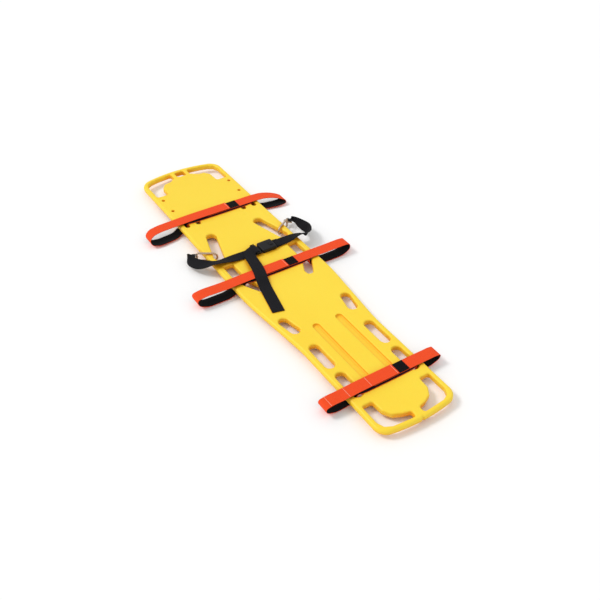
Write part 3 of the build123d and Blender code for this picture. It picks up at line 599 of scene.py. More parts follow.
def node_material(name):
    if name in NODE_PAINT:
        return NODE_PAINT[name]
    if name.startswith("harness_strap"):
        return BLACK_WEB
    for ending, material in (("_webbing", ORANGE_WEB), ("_lining", LOOP_LINING),
                             ("_hook_patch", HOOK_TAPE)):
        if name.endswith(ending):
            return material
    if "spring" in name:
        return SPRING
    return HOOK_TINTED_METAL if "hook" in name else STEEL


for node_name, node_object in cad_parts.items():
    node_object.data.materials.clear()
    node_object.data.materials.append(node_material(node_name))


# ------------------------------------------------------------------
# board moulding: every edge is a stack of offset outlines, and the
# flats between them are triangulated
# ------------------------------------------------------------------
BOARD_TOP, BODY_BOTTOM = 40.0, 14.0
RIM_RADIUS = 10.0

HEAD_Y, HEAD_RADIUS = 915.0, 622.606            # shallow arc across the head end
HEAD_CORNER, HEAD_CORNER_R = V(140.0, 837.3), 60.0
HEAD_JOIN = (154.9, 895.4)                      # where arc and corner meet
FOOT_Y, FOOT_RADIUS = -912.0, 770.026
FOOT_CORNER, FOOT_CORNER_R = V(120.0, -851.9), 50.0
FOOT_JOIN = (128.3, -901.2)
# x, y, bend radius down the right side between the two corners
SIDE_BENDS = ((200, 430, 2500), (205, 40, 2500), (205, -90, 900), (170, -425, 900))
# x, y of the right half of the small notch in the middle of the foot rim
FOOT_NOTCH_HALF = 6.5
FOOT_NOTCH = ((6.0, -911.95), (5.0, -911.4), (4.2, -910.2), (3.3, -909.0), (1.8, -908.3),
              (0.0, -908.0))

# openings with bent outlines on the right side: corner points (x, y), corner radius
HEAD_GRIP = ([(180, 744), (180, 836), (171, 862), (148, 877), (112, 885.5), (44, 893.5),
              (41, 857), (72, 834), (104, 829), (124, 803), (127, 744)], 8.0)
FOOT_GRIP = ([(106, -762), (150, -762), (150, -846), (139, -872), (112, -885), (20, -893),
              (18, -868), (50, -860), (84, -843), (103, -812)], 8.0)
WAIST_SLOT = ([(134, 147), (134, 28), (97, -46), (100, -72), (122, -72), (142, -40), (172, 18),
               (177, 40), (177, 147)], 9.0)
# the one opening on the centre line
HEAD_SLOT = ([(23, 853), (23, 893), (-23, 893), (-23, 853)], 9.0)
BENT_EDGE, HEAD_SLOT_EDGE = 6.5, 5.0
# round-ended slots on the right side: end centres (x, y), end radius, edge rounding
SLOTS = (((118.0, 352.0), (157.0, 215.0), 22.0, 6.5),
         ((146.0, -264.0), (134.0, -324.0), 20.0, 6.5),
         ((127.0, -445.0), (127.0, -538.0), 21.0, 6.5),
         ((127.0, -611.0), (127.0, -701.0), 21.0, 6.5),
         ((168.0, 474.0), (168.0, 528.0), 10.0, 4.5),
         ((115.0, 474.0), (115.0, 528.0), 10.0, 4.5))
# small round holes near the sides
PIN_X, PIN_YS, PIN_RADIUS, PIN_EDGE = 170.0, (611.0, 707.0), 7.0, 3.2

# blind groove in the top, on the right side, and its (offset out, depth) profile
GROOVE = ((53.0, -350.0), (53.0, -653.0), 15.0)
GROOVE_PROFILE = ((2.9, 0), (2.4, 0), (1.3, 0.25), (0.5, 0.9), (0.1, 2.0), (-0.3, 4.4),
                  (-0.8, 6.2), (-1.8, 7.6), (-3.2, 8.3), (-5.0, 8.5), (-5.6, 8.5))
# raised runners under the board: x, half width, y from, y to
RUNNERS = ((68.0, 17.0, -700.0, 700.0), (-68.0, 17.0, -700.0, 700.0), (0.0, 14.0, -640.0, 640.0))
# (offset out, z) from the board's underside down to the floor
RUNNER_PROFILE = ((3.2, 14), (2.7, 14), (1.2, 13.6), (0.2, 12.4), (-0.3, 10), (-1.2, 3.0),
                  (-2.2, 1.0), (-3.6, 0.15), (-5.4, 0), (-5.9, 0))
# round blind pockets in the underside: y places, radius, (offset out, z) profile
POCKET_YS, POCKET_RADIUS = (705.0, -705.0), 9.0
POCKET_PROFILE = ((0.9, 14.0), (0.4, 14.0), (0.0, 14.4), (0.0, 17.4))
# low bead round the middle of the board's edge: (offset out, z)
PARTING_LINE = ((0.0, 27.7), (0.3, 27.35), (0.3, 26.65), (0.0, 26.3))


def corner_arcs(points, radii, step):
    """Closed polygon with its corners replaced by true arcs."""
    points = [np.array(point, dtype=float) for point in points]
    out = []
    for i, b in enumerate(points):
        a, c = points[i - 1], points[(i + 1) % len(points)]
        radius = radii[i] if isinstance(radii, list) else radii
        back, ahead = unit(a - b), unit(c - b)
        inside = math.acos(float(np.clip(np.dot(back, ahead), -1, 1)))
        turn = math.pi - inside
        if radius <= 0 or turn < 1e-4:
            out.append(b)
            continue
        reach = radius * math.tan(turn / 2)
        centre = b + unit(back + ahead) * (radius / math.sin(inside / 2))
        start = math.atan2(*(b + back * reach - centre)[::-1])
        end = math.atan2(*(b + ahead * reach - centre)[::-1])
        sweep = (end - start + math.pi) % (2 * math.pi) - math.pi
        out += arc_points(centre, radius, start, sweep, max(3, int(abs(turn) * radius / step)))
    return np.array(out)


def even(outline, step):
    """Closed outline with even spacing, anticlockwise."""
    p = np.asarray(outline, dtype=float)
    area = 0.5 * np.sum(p[:, 0] * np.roll(p[:, 1], -1) - np.roll(p[:, 0], -1) * p[:, 1])
    if area < 0:
        p = p[::-1]
    q = np.vstack([p, p[:1]])
    run = np.concatenate([[0], np.cumsum(np.linalg.norm(np.diff(q, axis=0), axis=1))])
    along = np.linspace(0, run[-1], int(round(run[-1] / step)), endpoint=False)
    return np.stack([np.interp(along, run, q[:, 0]), np.interp(along, run, q[:, 1])], 1)


def outward(outline):
    """Softened outward normals of an anticlockwise outline."""
    t = np.roll(outline, -1, 0) - np.roll(outline, 1, 0)
    t /= np.linalg.norm(t, axis=1, keepdims=True)
    n = np.stack([t[:, 1], -t[:, 0]], 1)
    for _ in range(2):
        n = (np.roll(n, 1, 0) + 2 * n + np.roll(n, -1, 0)) / 4
        n /= np.linalg.norm(n, axis=1, keepdims=True)
    return n


def stadium(start, end, radius, side, step=2.5):
    """Round-ended slot outline; side -1 mirrors it to the left."""
    a, b = V(side * start[0], start[1]), V(side * end[0], end[1])
    axis = unit(b - a)
    heading = math.atan2(axis[1], axis[0])
    steps = max(8, int(math.pi * radius / step))
    out = arc_points(b, radius, heading - math.pi / 2, math.pi, steps)
    out += arc_points(a, radius, heading + math.pi / 2, math.pi, steps)
    return even(out, step)


def circle(x, y, radius, count=40):
    return np.array(arc_points(V(x, y), radius, 0, 2 * math.pi, count, last=count - 1))


def bent_outline(spec, side):
    points, radius = spec
    return even(corner_arcs([(side * x, y) for x, y in points], radius, 1.5), 2.5)


def plan_outline():
    """Outside of the board seen from above, clockwise from the middle of the head."""
    head = V(0, HEAD_Y - HEAD_RADIUS)
    join_angle = math.atan2(HEAD_JOIN[1] - head[1], HEAD_JOIN[0])
    points = arc_points(head, HEAD_RADIUS, math.pi / 2, join_angle - math.pi / 2, 60, last=59)
    points += arc_points(HEAD_CORNER, HEAD_CORNER_R, join_angle, -join_angle, 32)

    side_top = HEAD_CORNER + V(HEAD_CORNER_R, 0)
    side_end = FOOT_CORNER + V(FOOT_CORNER_R, 0)
    stops = [side_top] + [(x, y) for x, y, _ in SIDE_BENDS] + [side_end, (0, 0)]
    radii = [0] + [radius for _, _, radius in SIDE_BENDS] + [0, 0]
    points += list(corner_arcs(stops, radii, 4.0)[1:-1])

    foot = V(0, FOOT_Y + FOOT_RADIUS)
    join_angle = math.atan2(FOOT_JOIN[1] - foot[1], FOOT_JOIN[0])
    points += arc_points(FOOT_CORNER, FOOT_CORNER_R, 0, join_angle, 32, first=1)
    points += arc_points(foot, FOOT_RADIUS, join_angle, -math.pi / 2 - join_angle, 60,
                         first=1, last=59)
    points = [p for p in points if not (p[1] < -880 and abs(p[0]) < FOOT_NOTCH_HALF)]
    points += FOOT_NOTCH
    left = [(-x, y) for x, y in reversed(points[1:-1])]
    return np.array(points + left)


def inside(polygon, points):
    """Which points lie inside a closed polygon, by counting crossings."""
    x, y = polygon[:, 0], polygon[:, 1]
    x2, y2 = np.roll(x, -1), np.roll(y, -1)
    result = np.zeros(len(points), dtype=bool)
    for k in range(len(x)):
        spans = (y[k] > points[:, 1]) != (y2[k] > points[:, 1])
        if not spans.any():
            continue
        crossing = (x2[k] - x[k]) * (points[:, 1] - y[k]) / (y2[k] - y[k] + 1e-30) + x[k]
        result ^= spans & (points[:, 0] < crossing)
    return result


class Skin:
    """Collects vertices and faces.  A ring is (first vertex, vertex count)."""

    def __init__(self):
        self.verts, self.faces = [], []

    def rings(self, outline, profile):
        """One ring per (offset out, z) of the profile."""
        normals = outward(outline)
        made = []
        for offset, z in profile:
            made.append((len(self.verts), len(outline)))
            self.verts += [(x, y, z) for x, y in outline + normals * offset]
        return made

    def loft(self, rings):
        for (a, count), (b, _) in zip(rings, rings[1:]):
            for i in range(count):
                j = (i + 1) % count
                self.faces.append((a + i, a + j, b + j, b + i))

    def rounded_edges(self, outline, radius, steps, sign, land):
        """Rings of the top and bottom edges; sign -1 rounds inwards.  Land is
        the narrow flat beyond the rounding."""
        profile = [(sign * inset, drop) for inset, drop in quarter(radius, steps)]
        profile.append((sign * (radius + land), 0))
        top = self.rings(outline, [(offset, BOARD_TOP - drop) for offset, drop in profile])
        bottom = self.rings(outline, [(offset, BODY_BOTTOM + drop) for offset, drop in profile])
        return top, bottom

    def blind(self, outline, profile):
        """Capped recess or boss; returns the ring at its mouth."""
        rings = self.rings(outline, profile)
        self.loft(rings)
        base, count = rings[-1]
        self.faces.append(tuple(base + i for i in range(count)))
        return rings[0]

    def fill(self, outer, holes):
        """Triangulate between rings that share one height."""
        points, back, loops = [], [], []
        for base, count in [outer] + holes:
            loops.append([len(points) + i for i in range(count)])
            for i in range(base, base + count):
                points.append(Vector(self.verts[i][:2]))
                back.append(i)
        edges = [(f[i], f[(i + 1) % len(f)]) for f in loops for i in range(len(f))]
        co, _, tris, orig, _, _ = delaunay_2d_cdt(points, edges, [], 0, 1e-5)
        polygons = [np.array([[points[i].x, points[i].y] for i in f]) for f in loops]
        centres = np.array([[sum(co[i].x for i in t) / 3, sum(co[i].y for i in t) / 3]
                            for t in tris])
        keep = inside(polygons[0], centres)
        for polygon in polygons[1:]:
            keep &= ~inside(polygon, centres)
        for tri, kept in zip(tris, keep):
            if kept:
                self.faces.append(tuple(back[orig[i][0]] for i in tri))


def through_holes():
    """(outline, edge rounding) of every opening."""
    holes = []
    for side in (1, -1):
        holes += [(stadium(a, b, radius, side), edge) for a, b, radius, edge in SLOTS]
        holes += [(bent_outline(spec, side), BENT_EDGE)
                  for spec in (HEAD_GRIP, FOOT_GRIP, WAIST_SLOT)]
    holes.append((bent_outline(HEAD_SLOT, 1), HEAD_SLOT_EDGE))
    for side in (1, -1):
        holes += [(circle(side * PIN_X, y, PIN_RADIUS), PIN_EDGE) for y in PIN_YS]
    return holes


def board_outer():
    skin = Skin()
    outline = even(plan_outline(), 4.0)
    rim_top, rim_bottom = skin.rounded_edges(outline, RIM_RADIUS, steps=7, sign=-1, land=0.8)
    seam = skin.rings(outline, PARTING_LINE)
    skin.loft(rim_top[::-1] + seam + rim_bottom)
    top_holes, bottom_holes = [], []
    for hole, edge in through_holes():
        top, bottom = skin.rounded_edges(hole, edge, steps=5, sign=1, land=0.5)
        skin.loft(top[::-1] + bottom)
        top_holes.append(top[-1])
        bottom_holes.append(bottom[-1])
    groove_profile = [(offset, BOARD_TOP - depth) for offset, depth in GROOVE_PROFILE]
    for side in (1, -1):
        top_holes.append(skin.blind(stadium(*GROOVE, side, 3.0), groove_profile))
    for x, half, y0, y1 in RUNNERS:
        runner = stadium((x, y0 + half), (x, y1 - half), half, 1, 3.0)
        bottom_holes.append(skin.blind(runner, RUNNER_PROFILE))
    for y in POCKET_YS:
        bottom_holes.append(skin.blind(circle(0.0, y, POCKET_RADIUS), POCKET_PROFILE))
    skin.fill(rim_top[-1], top_holes)
    skin.fill(rim_bottom[-1], bottom_holes)
    return make_object("board_outer", skin.verts, skin.faces)


def largest_island(bm):
    """Indices of the vertices in the biggest connected part."""
    seen, best = set(), []
    for first in bm.verts:
        if first.index in seen:
            continue
        stack, island = [first], []
        seen.add(first.index)
        while stack:
            vert = stack.pop()
            island.append(vert)
            for edge in vert.link_edges:
                other = edge.other_vert(vert)
                if other.index not in seen:
                    seen.add(other.index)
                    stack.append(other)
        if len(island) > len(best):
            best = island
    return set(vert.index for vert in best)


def board_inner():
    """Inner wall of the hollow: the outside of the foam, a tenth of a millimetre out."""
    bm = bmesh.new()
    bm.from_mesh(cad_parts["foam_core"].data)
    bmesh.ops.remove_doubles(bm, verts=bm.verts, dist=1e-6)
    bm.verts.ensure_lookup_table()
    keep = largest_island(bm)
    bmesh.ops.delete(bm, geom=[v for v in bm.verts if v.index not in keep], context="VERTS")
    bmesh.ops.recalc_face_normals(bm, faces=bm.faces)
    bm.normal_update()
    for vert in bm.verts:
        vert.co = vert.co + vert.normal * 0.0001
    for face in bm.faces:
        face.normal_flip()
        face.smooth = False
    mesh = bpy.data.meshes.new("board_inner")
    bm.to_mesh(mesh)
    bm.free()
    return link_object("board_inner", mesh)


finish_piece(join("board_moulding", [board_outer(), board_inner()]), BOARD_YELLOW, "board",
             "board_shell")


# ------------------------------------------------------------------
# stitching
# ------------------------------------------------------------------
# (share of the stitch's length, share of the thread's radius)
STITCH_SECTIONS = ((0.0, 0.25), (0.18, 0.9), (0.5, 1.0), (0.82, 0.9), (1.0, 0.25))
STITCH_SIDES = 6


def seam_across(band, at, inset, offset):
    """Seam straight across a band.  Seam rows: point, then surface normal."""
    i = int(np.argmin(np.abs(band.along - at)))
    places = np.linspace(-1, 1, 24)[:, None]
    points = (band.centre[i] + band.across[i] * (band.half[i] - inset) * places
              + band.normal[i] * offset)
    normals = np.repeat(band.normal[i][None], 24, 0) * (1 if offset >= 0 else -1)
    return np.hstack([points, normals])


def seam_along(band, start, end, place, offset):
    """Seam along a band at a place from -1 to 1 over its width."""
    m = (band.along >= start) & (band.along <= end)
    points = (band.centre[m] + band.across[m] * (band.half[m] * place)[:, None]
              + band.normal[m] * offset)
    return np.hstack([points, band.normal[m]])


def stitch_row(seam, material, length, gap, radius):
    """Row of thread stitches lying on a surface."""
    rows, _ = resample(seam, length + gap)
    verts, faces = [], []
    for i in range(len(rows) - 1):
        normal = unit(rows[i, 3:6])
        tangent = unit(rows[i + 1, :3] - rows[i, :3])
        side = np.cross(normal, tangent)
        base = len(verts)
        for share, swell in STITCH_SECTIONS:
            rise = 0.10 + 0.28 * math.sin(math.pi * share)
            centre = rows[i, :3] + tangent * length * share + normal * rise
            for k in range(STITCH_SIDES):
                t = 2 * math.pi * k / STITCH_SIDES
                around = side * math.cos(t) + normal * math.sin(t)
                verts.append(centre + around * radius * swell)
        sections = len(STITCH_SECTIONS)
        faces += walls(STITCH_SIDES, sections, base)
        last = base + (sections - 1) * STITCH_SIDES
        faces.append(tuple(base + k for k in range(STITCH_SIDES)))
        faces.append(tuple(last + k for k in reversed(range(STITCH_SIDES))))
    ob = make_object("stitches", verts, faces)
    ob.data.materials.append(material)
    return ob


def finish_stitching(name, rows):
    stitching = join(name, rows)
    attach(stitching, "board")


# ------------------------------------------------------------------
# body straps
# ------------------------------------------------------------------
STRAP_WIDTH, STRAP_THICK = 50.0, 1.6
LINING_WIDTH, LINING_THICK = STRAP_WIDTH - 2, 1.3
LINING_GAP = 0.1
LAP_LEFT, LAP_RIGHT = 52.0, -60.0      # x where the upper and lower ends stop
LAP_TOP_Z, LAP_UNDER_Z = 50.2, 45.8    # heights of the two overlapping ends
DECK_Z = 42.0                          # strap lying on the board

# Per strap: y of its centre line, x of its slots, x of the strap outside the
# board on the left and on the right, and places of the seams across it.
# Loop columns: distance from the centre line, drift in y, z; each runs out
# above the board, round its edge and back beneath it.
STRAPS = {
    "chest_strap": (
        511.0, 168.0,
        ((186, 0, 48.2), (232, 0, 46.5), (282, 0, 45.0), (328, -6, 42.0), (352, -20, 30.0),
         (347, -36, 15.0), (310, -44, 9.5), (230, -34, 8.0), (196, -12, 9.4)),
        ((186, 0, 45.8), (232, 0, 43.0), (272, -8, 37.0), (306, -22, 29.0), (328, -36, 20.0),
         (322, -45, 13.0), (290, -45, 9.5), (230, -34, 8.0), (196, -12, 9.4)),
        (6.0,)),
    "hip_strap": (
        28.0, 158.0,
        ((190, 0, 48.2), (236, 0, 47.0), (332, 0, 50.5), (372, 0, 44.0), (366, -7, 20.0),
         (327, -12, 5.5), (235, -12, 5.0), (199, -4, 9.0)),
        ((190, 0, 45.8), (236, 0, 44.6), (336, 0, 45.0), (366, 0, 40.0), (360, -7, 20.0),
         (321, -12, 5.5), (235, -12, 5.0), (199, -4, 9.0)),
        (6.0,)),
    "leg_strap": (
        -690.0, 139.0,
        ((156, 0, 48.2), (200, 0, 47.0), (226, 0, 49.0), (266, 0, 44.0), (260, 0, 20.0),
         (221, 0, 5.5), (200, 0, 5.0), (164, 0, 9.0)),
        ((156, 0, 45.8), (200, 0, 44.6), (220, 0, 45.0), (250, 0, 40.0), (244, 0, 20.0),
         (205, 0, 5.5), (190, 0, 5.0), (164, 0, 9.0)),
        (6.0, 122.0, 217.0, 295.0)),
}


def strap_rows(centre_y, slot_x, left, right, width):
    """Ribbon path: upper lap, left loop, up a slot, over the deck, down, right loop, lower lap."""
    through_slot = ((slot_x + 1, 0, 10.5), (slot_x - 1, 0, 30.0), (slot_x - 4, 0, DECK_Z),
                    (slot_x - 34, -6.0, DECK_Z))
    stops = [(LAP_LEFT, 0, LAP_TOP_Z), (-120, 0, LAP_TOP_Z)]
    stops += [(-x, drift, z) for x, drift, z in left + through_slot]
    stops += [(0, -7.0, DECK_Z)]
    stops += (right + through_slot)[len(right):][::-1]
    stops += right[::-1]
    stops += [(LAP_RIGHT, 0, LAP_UNDER_Z)]
    points = round_corners([(x, centre_y + drift, z) for x, drift, z in stops], 16.0)
    rows = np.zeros((len(points), 7))
    rows[:, :3] = points
    rows[:, 4] = 1.0
    rows[:, 6] = width
    return rows


def body_strap(name, centre_y, slot_x, left, right, cross_seams):
    course = (centre_y, slot_x, left, right)
    face = LINING_GAP / 2 + STRAP_THICK
    web, band = ribbon(name + "_web", strap_rows(*course, STRAP_WIDTH), LINING_GAP / 2, face,
                       square=False)
    finish_piece(web, ORANGE_WEB, "board", name + "_webbing")
    lining, _ = ribbon(name + "_loop_lining", strap_rows(*course, LINING_WIDTH),
                       -LINING_GAP / 2 - LINING_THICK, -LINING_GAP / 2, square=False)
    finish_piece(lining, LOOP_LINING, "board", name + "_lining")
    rows = []
    for place in (-0.93, 0.93):
        seam = seam_along(band, 4, band.along[-1] - 4, place, face)
        rows.append(stitch_row(seam, ORANGE_THREAD, length=3.0, gap=1.6, radius=0.28))
    for at in cross_seams:
        seam = seam_across(band, at, 2.0, face)
        rows.append(stitch_row(seam, PALE_THREAD, length=3.0, gap=0.7, radius=0.85))
    finish_stitching(name + "_stitching", rows)


for strap_name, strap in STRAPS.items():
    body_strap(strap_name, *strap)

# ------------------------------------------------------------------
# snap hooks, drawn in a plane that stands upright: s runs level along the
# hook from its curved end to its eye, z is height, k is sideways
# ------------------------------------------------------------------
HOOK_ORIGIN = {1: (202.2, 275.0), -1: (-202.2, 257.0)}  # x, y for right and left
HOOK_AXIS = unit(V(0.857, 0.515, 0))                    # s direction of the right hook
WIRE_RADIUS = 4.0
WIRE_TOP, WIRE_LOW = 46.0, 9.0                          # heights of the two long runs
WIRE_MID = (WIRE_TOP + WIRE_LOW) / 2
BEND_S, BEND_RADIUS = -34.0, (WIRE_TOP - WIRE_LOW) / 2  # big bend
NOSE_S, GATE_TIP_S, PIVOT_S = 4.0, 4.6, 22.5
END_S, END_RADIUS, WIRE_END_S = 33.0, 6.0, 26.5         # squared end, stop of the wire
EYE_S, EYE_BAR, EYE_HALF = 44.5, 2.5, 17.8              # outer bar, bar radius, half width
EYE_Z = WIRE_MID
EYE_INNER_S = END_S + 3.4
LUG_RADIUS, LUG_HALF = 3.5, 1.5
GATE_RADIUS, GATE_BORE, GATE_SIDES = 4.0, 2.2, 32
CHEEK_RADIUS, RIVET_HOLE, RIVET_SIDES = 3.8, 1.57, 24
COLLAR_HEIGHTS = (-6.5, -5.6, -5.2, 5.2, 5.6, 6.5)      # from the eye's height
COLLAR_RADII = (4.1, 4.9, 5.3, 5.3, 5.3, 5.3, 4.9, 4.1)


def hook_axis(side):
    return V(side * HOOK_AXIS[0], HOOK_AXIS[1], 0)


def hook_sideways(side):
    u = hook_axis(side)
    return V(u[1], -u[0], 0)


def hook_point(side, s, z, k=0.0):
    return (V(*HOOK_ORIGIN[side], 0) + hook_axis(side) * s + hook_sideways(side) * k
            + V(0, 0, z))


def plate(side, outline, k0, k1, hole=None):
    """Flat plate in the hook's plane, rounded a little along its rim.
    Hole is (s, z, radius)."""
    outline = [np.array(point, dtype=float) for point in outline]
    count = len(outline)
    centre = sum(outline) / count
    edge = 0.35
    verts = []
    for k, shrink in ((k0, edge), (k0 + edge, 0), (k1 - edge, 0), (k1, edge)):
        for point in outline:
            spoke = point - centre
            s, z = point - spoke / max(np.linalg.norm(spoke), 1e-6) * shrink
            verts.append(hook_point(side, s, z, k))
    faces = walls(count, 4)
    last = 3 * count
    if hole is None:
        faces.append(tuple(reversed(range(count))))
        faces.append(tuple(range(last, 4 * count)))
        return make_object("plate", verts, faces, angle=35)

    hole_s, hole_z, hole_r = hole
    m = RIVET_SIDES
    angles = [2 * math.pi * i / m for i in range(m)]
    bore = [(hole_s + hole_r * math.cos(t), hole_z + hole_r * math.sin(t)) for t in angles]
    base = len(verts)
    for k in (k0, k1):
        verts += [hook_point(side, s, z, k) for s, z in bore]
    faces += walls(m, 2, base)
    flat = [Vector((float(p[0]), float(p[1]))) for p in outline] + [Vector(p) for p in bore]
    loops = [list(range(count)), list(range(count, count + m))]
    co, _, tris, orig, _, _ = delaunay_2d_cdt(flat, [], loops, 1, 1e-6)
    for rim, ring in ((0, base), (last, base + m)):
        for tri in tris:
            middle = sum((co[i] for i in tri), Vector((0, 0))) / len(tri)
            in_hole = (middle - Vector((hole_s, hole_z))).length < hole_r * 0.98
            if in_hole or not all(orig[i] for i in tri):
                continue
            sources = [orig[i][0] for i in tri]
            faces.append(tuple(rim + o if o < count else ring + (o - count) for o in sources))
    return make_object("plate", verts, faces, angle=35)


def hook_wire(side):
    line = [(NOSE_S, WIRE_LOW), (NOSE_S - 12, WIRE_LOW), (BEND_S, WIRE_LOW)]
    line += degree_arc(BEND_S, WIRE_MID, BEND_RADIUS, -90, -270, 26)[1:]
    line += [(-10, WIRE_TOP), (END_S - END_RADIUS, WIRE_TOP)]
    line += degree_arc(END_S - END_RADIUS, WIRE_TOP - END_RADIUS, END_RADIUS, 90, 0, 14)[1:]
    line += [(END_S, WIRE_MID), (END_S, WIRE_LOW + END_RADIUS)]
    line += degree_arc(END_S - END_RADIUS, WIRE_LOW + END_RADIUS, END_RADIUS, 0, -90, 14)[1:]
    line += [(WIRE_END_S, WIRE_LOW)]
    return tube("wire", [hook_point(side, s, z) for s, z in line], WIRE_RADIUS, sides=28,
                step=1.2, smoothing=2)


def pivot_lug(side):
    """Flat tongue with a rounded end, on the end of the wire."""
    outline = [(WIRE_END_S + 1.5, WIRE_LOW - 3.4), (PIVOT_S, WIRE_LOW - LUG_RADIUS)]
    outline += degree_arc(PIVOT_S, WIRE_LOW, LUG_RADIUS, -90, -270, 16)[1:]
    outline += [(WIRE_END_S + 1.5, WIRE_LOW + 3.4)]
    return plate(side, outline, -LUG_HALF, LUG_HALF)


def hook_eye(side):
    """Round rod bent to a rectangle."""
    near, far, half = EYE_INNER_S, EYE_S, EYE_HALF
    rectangle = round_corners(
        [(near + 1, 0, 0), (near, half * 0.2, 0), (near, half, 0), (far, half, 0),
         (far, -half, 0), (near, -half, 0), (near, -half * 0.2, 0), (near + 1, 0, 0)], 4.0)
    points = [hook_point(side, s, EYE_Z, k) for s, k, _ in rectangle[1:-1]]
    return tube("eye", points, EYE_BAR, sides=22, step=1.2, smoothing=1, closed=True)


def gate_barrel(side):
    """Turned tube with a groove near its tip."""
    length = PIVOT_S - 4.3 - GATE_TIP_S
    # (distance from the tip, radius); the first and last rings are the bore
    profile = ((0.0, GATE_BORE), (0.0, 3.3), (0.7, 3.9), (1.2, GATE_RADIUS),
               (2.6, GATE_RADIUS), (2.9, 3.7), (3.6, 3.7), (3.9, GATE_RADIUS),
               (length, GATE_RADIUS), (length, GATE_BORE))
    tip = hook_point(side, GATE_TIP_S, WIRE_LOW)
    u, n = hook_axis(side), hook_sideways(side)
    verts = []
    for along, radius in profile:
        for k in range(GATE_SIDES):
            t = 2 * math.pi * k / GATE_SIDES
            verts.append(tip + u * along + n * (radius * math.cos(t))
                         + V(0, 0, radius * math.sin(t)))
    faces = walls(GATE_SIDES, len(profile), closed=True)
    return make_object("barrel", verts, faces, angle=35)


def gate_cheek(side, k0, k1):
    """One arm of the fork that the rivet goes through."""
    outline = [(PIVOT_S - 4.6, WIRE_LOW - 3.3), (PIVOT_S - 1, WIRE_LOW - CHEEK_RADIUS)]
    outline += degree_arc(PIVOT_S, WIRE_LOW, CHEEK_RADIUS, -75, 75, 14)
    outline += [(PIVOT_S - 1, WIRE_LOW + CHEEK_RADIUS), (PIVOT_S - 4.6, WIRE_LOW + 3.3)]
    return plate(side, outline, k0, k1, hole=(PIVOT_S, WIRE_LOW, RIVET_HOLE))


def snap_hook(side, prefix):
    collar_path = [hook_point(side, END_S, EYE_Z + rise) for rise in COLLAR_HEIGHTS]
    parts = [hook_wire(side), pivot_lug(side), hook_eye(side),
             tube("collar", collar_path, COLLAR_RADII, sides=28, step=0.8, smoothing=0)]
    finish_piece(join(prefix + "_hook_wire", parts), HOOK_TINTED_METAL, "board",
                 prefix + "_snap_hook")
    parts = [gate_barrel(side), gate_cheek(side, -GATE_RADIUS, -1.75),
             gate_cheek(side, 1.75, GATE_RADIUS)]
    finish_piece(join(prefix + "_gate_barrel", parts), HOOK_TINTED_METAL, prefix + "_gate",
                 prefix + "_hook_gate")


snap_hook(1, "right")
snap_hook(-1, "left")

# ------------------------------------------------------------------
# harness webbing
# ------------------------------------------------------------------
BUCKLE_Y = 165.0
WEB_HALF = 2.2 / 2      # half the webbing's thickness
WEB_AT_EYE = 28.0       # width where it is gathered into an eye
WEB_AT_BUCKLE = 47.4

# x, z of the right band's sewn end, folded round the bar at the buckle
RIGHT_FOLD = ((108, 46.9), (101, 47.6), (94, 48.4), (86.6, 48.5), (84.6, 47.8), (84, 46.3),
              (84, 44.2), (84.6, 42.8), (86.6, 42.1), (94, 42.2), (106, 44.0))
# x, z of the left band where it turns back over the adjuster bar
LEFT_FOLD = ((-30, 43.7), (-16, 43.6), (-7.6, 43.6), (-5.2, 44.2), (-4.1, 46.0), (-4.1, 50),
             (-4.1, 54.9), (-4.9, 56.9), (-7.2, 57.7), (-15.2, 57.7), (-18.6, 56.9),
             (-21.5, 55.0), (-25.5, 52.9))
# stations of the free bands: point, direction across the band, width
RIGHT_KEYS = (
    ((120, 165.5, 44.8), (0, 1, 0), 47.0),
    ((150, 166, 45.6), (0, 1, -0.05), 47),
    ((178, 165.5, 49.5), (0.1, 0.96, -0.22), 46.5),
    ((204, 163, 53), (0.26, 0.86, -0.4), 46),
    ((232, 160, 50), (0.36, 0.74, -0.56), 46),
    ((255, 164, 43), (0.2, 0.6, -0.78), 46),
    ((271, 180, 36), (-0.2, 0.4, -0.9), 46),
    ((279, 206, 32), (-0.52, 0.12, -0.85), 45),
    ((277, 236, 29.5), (-0.66, 0, -0.74), 42),
    ((274, 262, 28.5), (-0.5, 0.05, -0.86), 37),
    ((272, 282, 28), (-0.22, 0.12, -0.97), 32.5),
    ((268, 296, 27.6), (-0.15, 0.35, -0.92), 30),
    (hook_point(1, EYE_S + 20, 26.9), (-0.45, 0.75, -0.45), 28.5),
    (hook_point(1, EYE_S + 14, 26.5), (-0.515, 0.857, 0), WEB_AT_EYE),
)
LEFT_KEYS = (
    ((-42, 165, 44.0), (0, 1, 0), 47.2),
    ((-66, 165.5, 44.1), (0, 1, 0), 47),
    ((-100, 166, 45.2), (0.03, 1, -0.03), 47),
    ((-140, 166, 48.5), (0.13, 0.96, -0.18), 46.5),
    ((-172, 167, 51.5), (0.28, 0.88, -0.33), 46),
    ((-204, 174, 52), (0.45, 0.82, -0.3), 46),
    ((-230, 189, 46), (0.62, 0.75, 0.1), 46),
    ((-250, 211, 38), (0.78, 0.42, 0.45), 46),
    ((-262, 237, 32.5), (0.82, 0.0, 0.57), 44),
    ((-268, 259, 30), (0.7, -0.05, 0.71), 39),
    ((-270, 275, 29), (0.4, 0, 0.92), 34),
    ((-267.5, 288, 28.3), (0.18, 0.25, 0.95), 30),
    (hook_point(-1, EYE_S + 20, 27.3), (0.45, 0.75, 0.45), 28.5),
    (hook_point(-1, EYE_S + 14, 26.5), (0.515, 0.857, 0), WEB_AT_EYE),
)
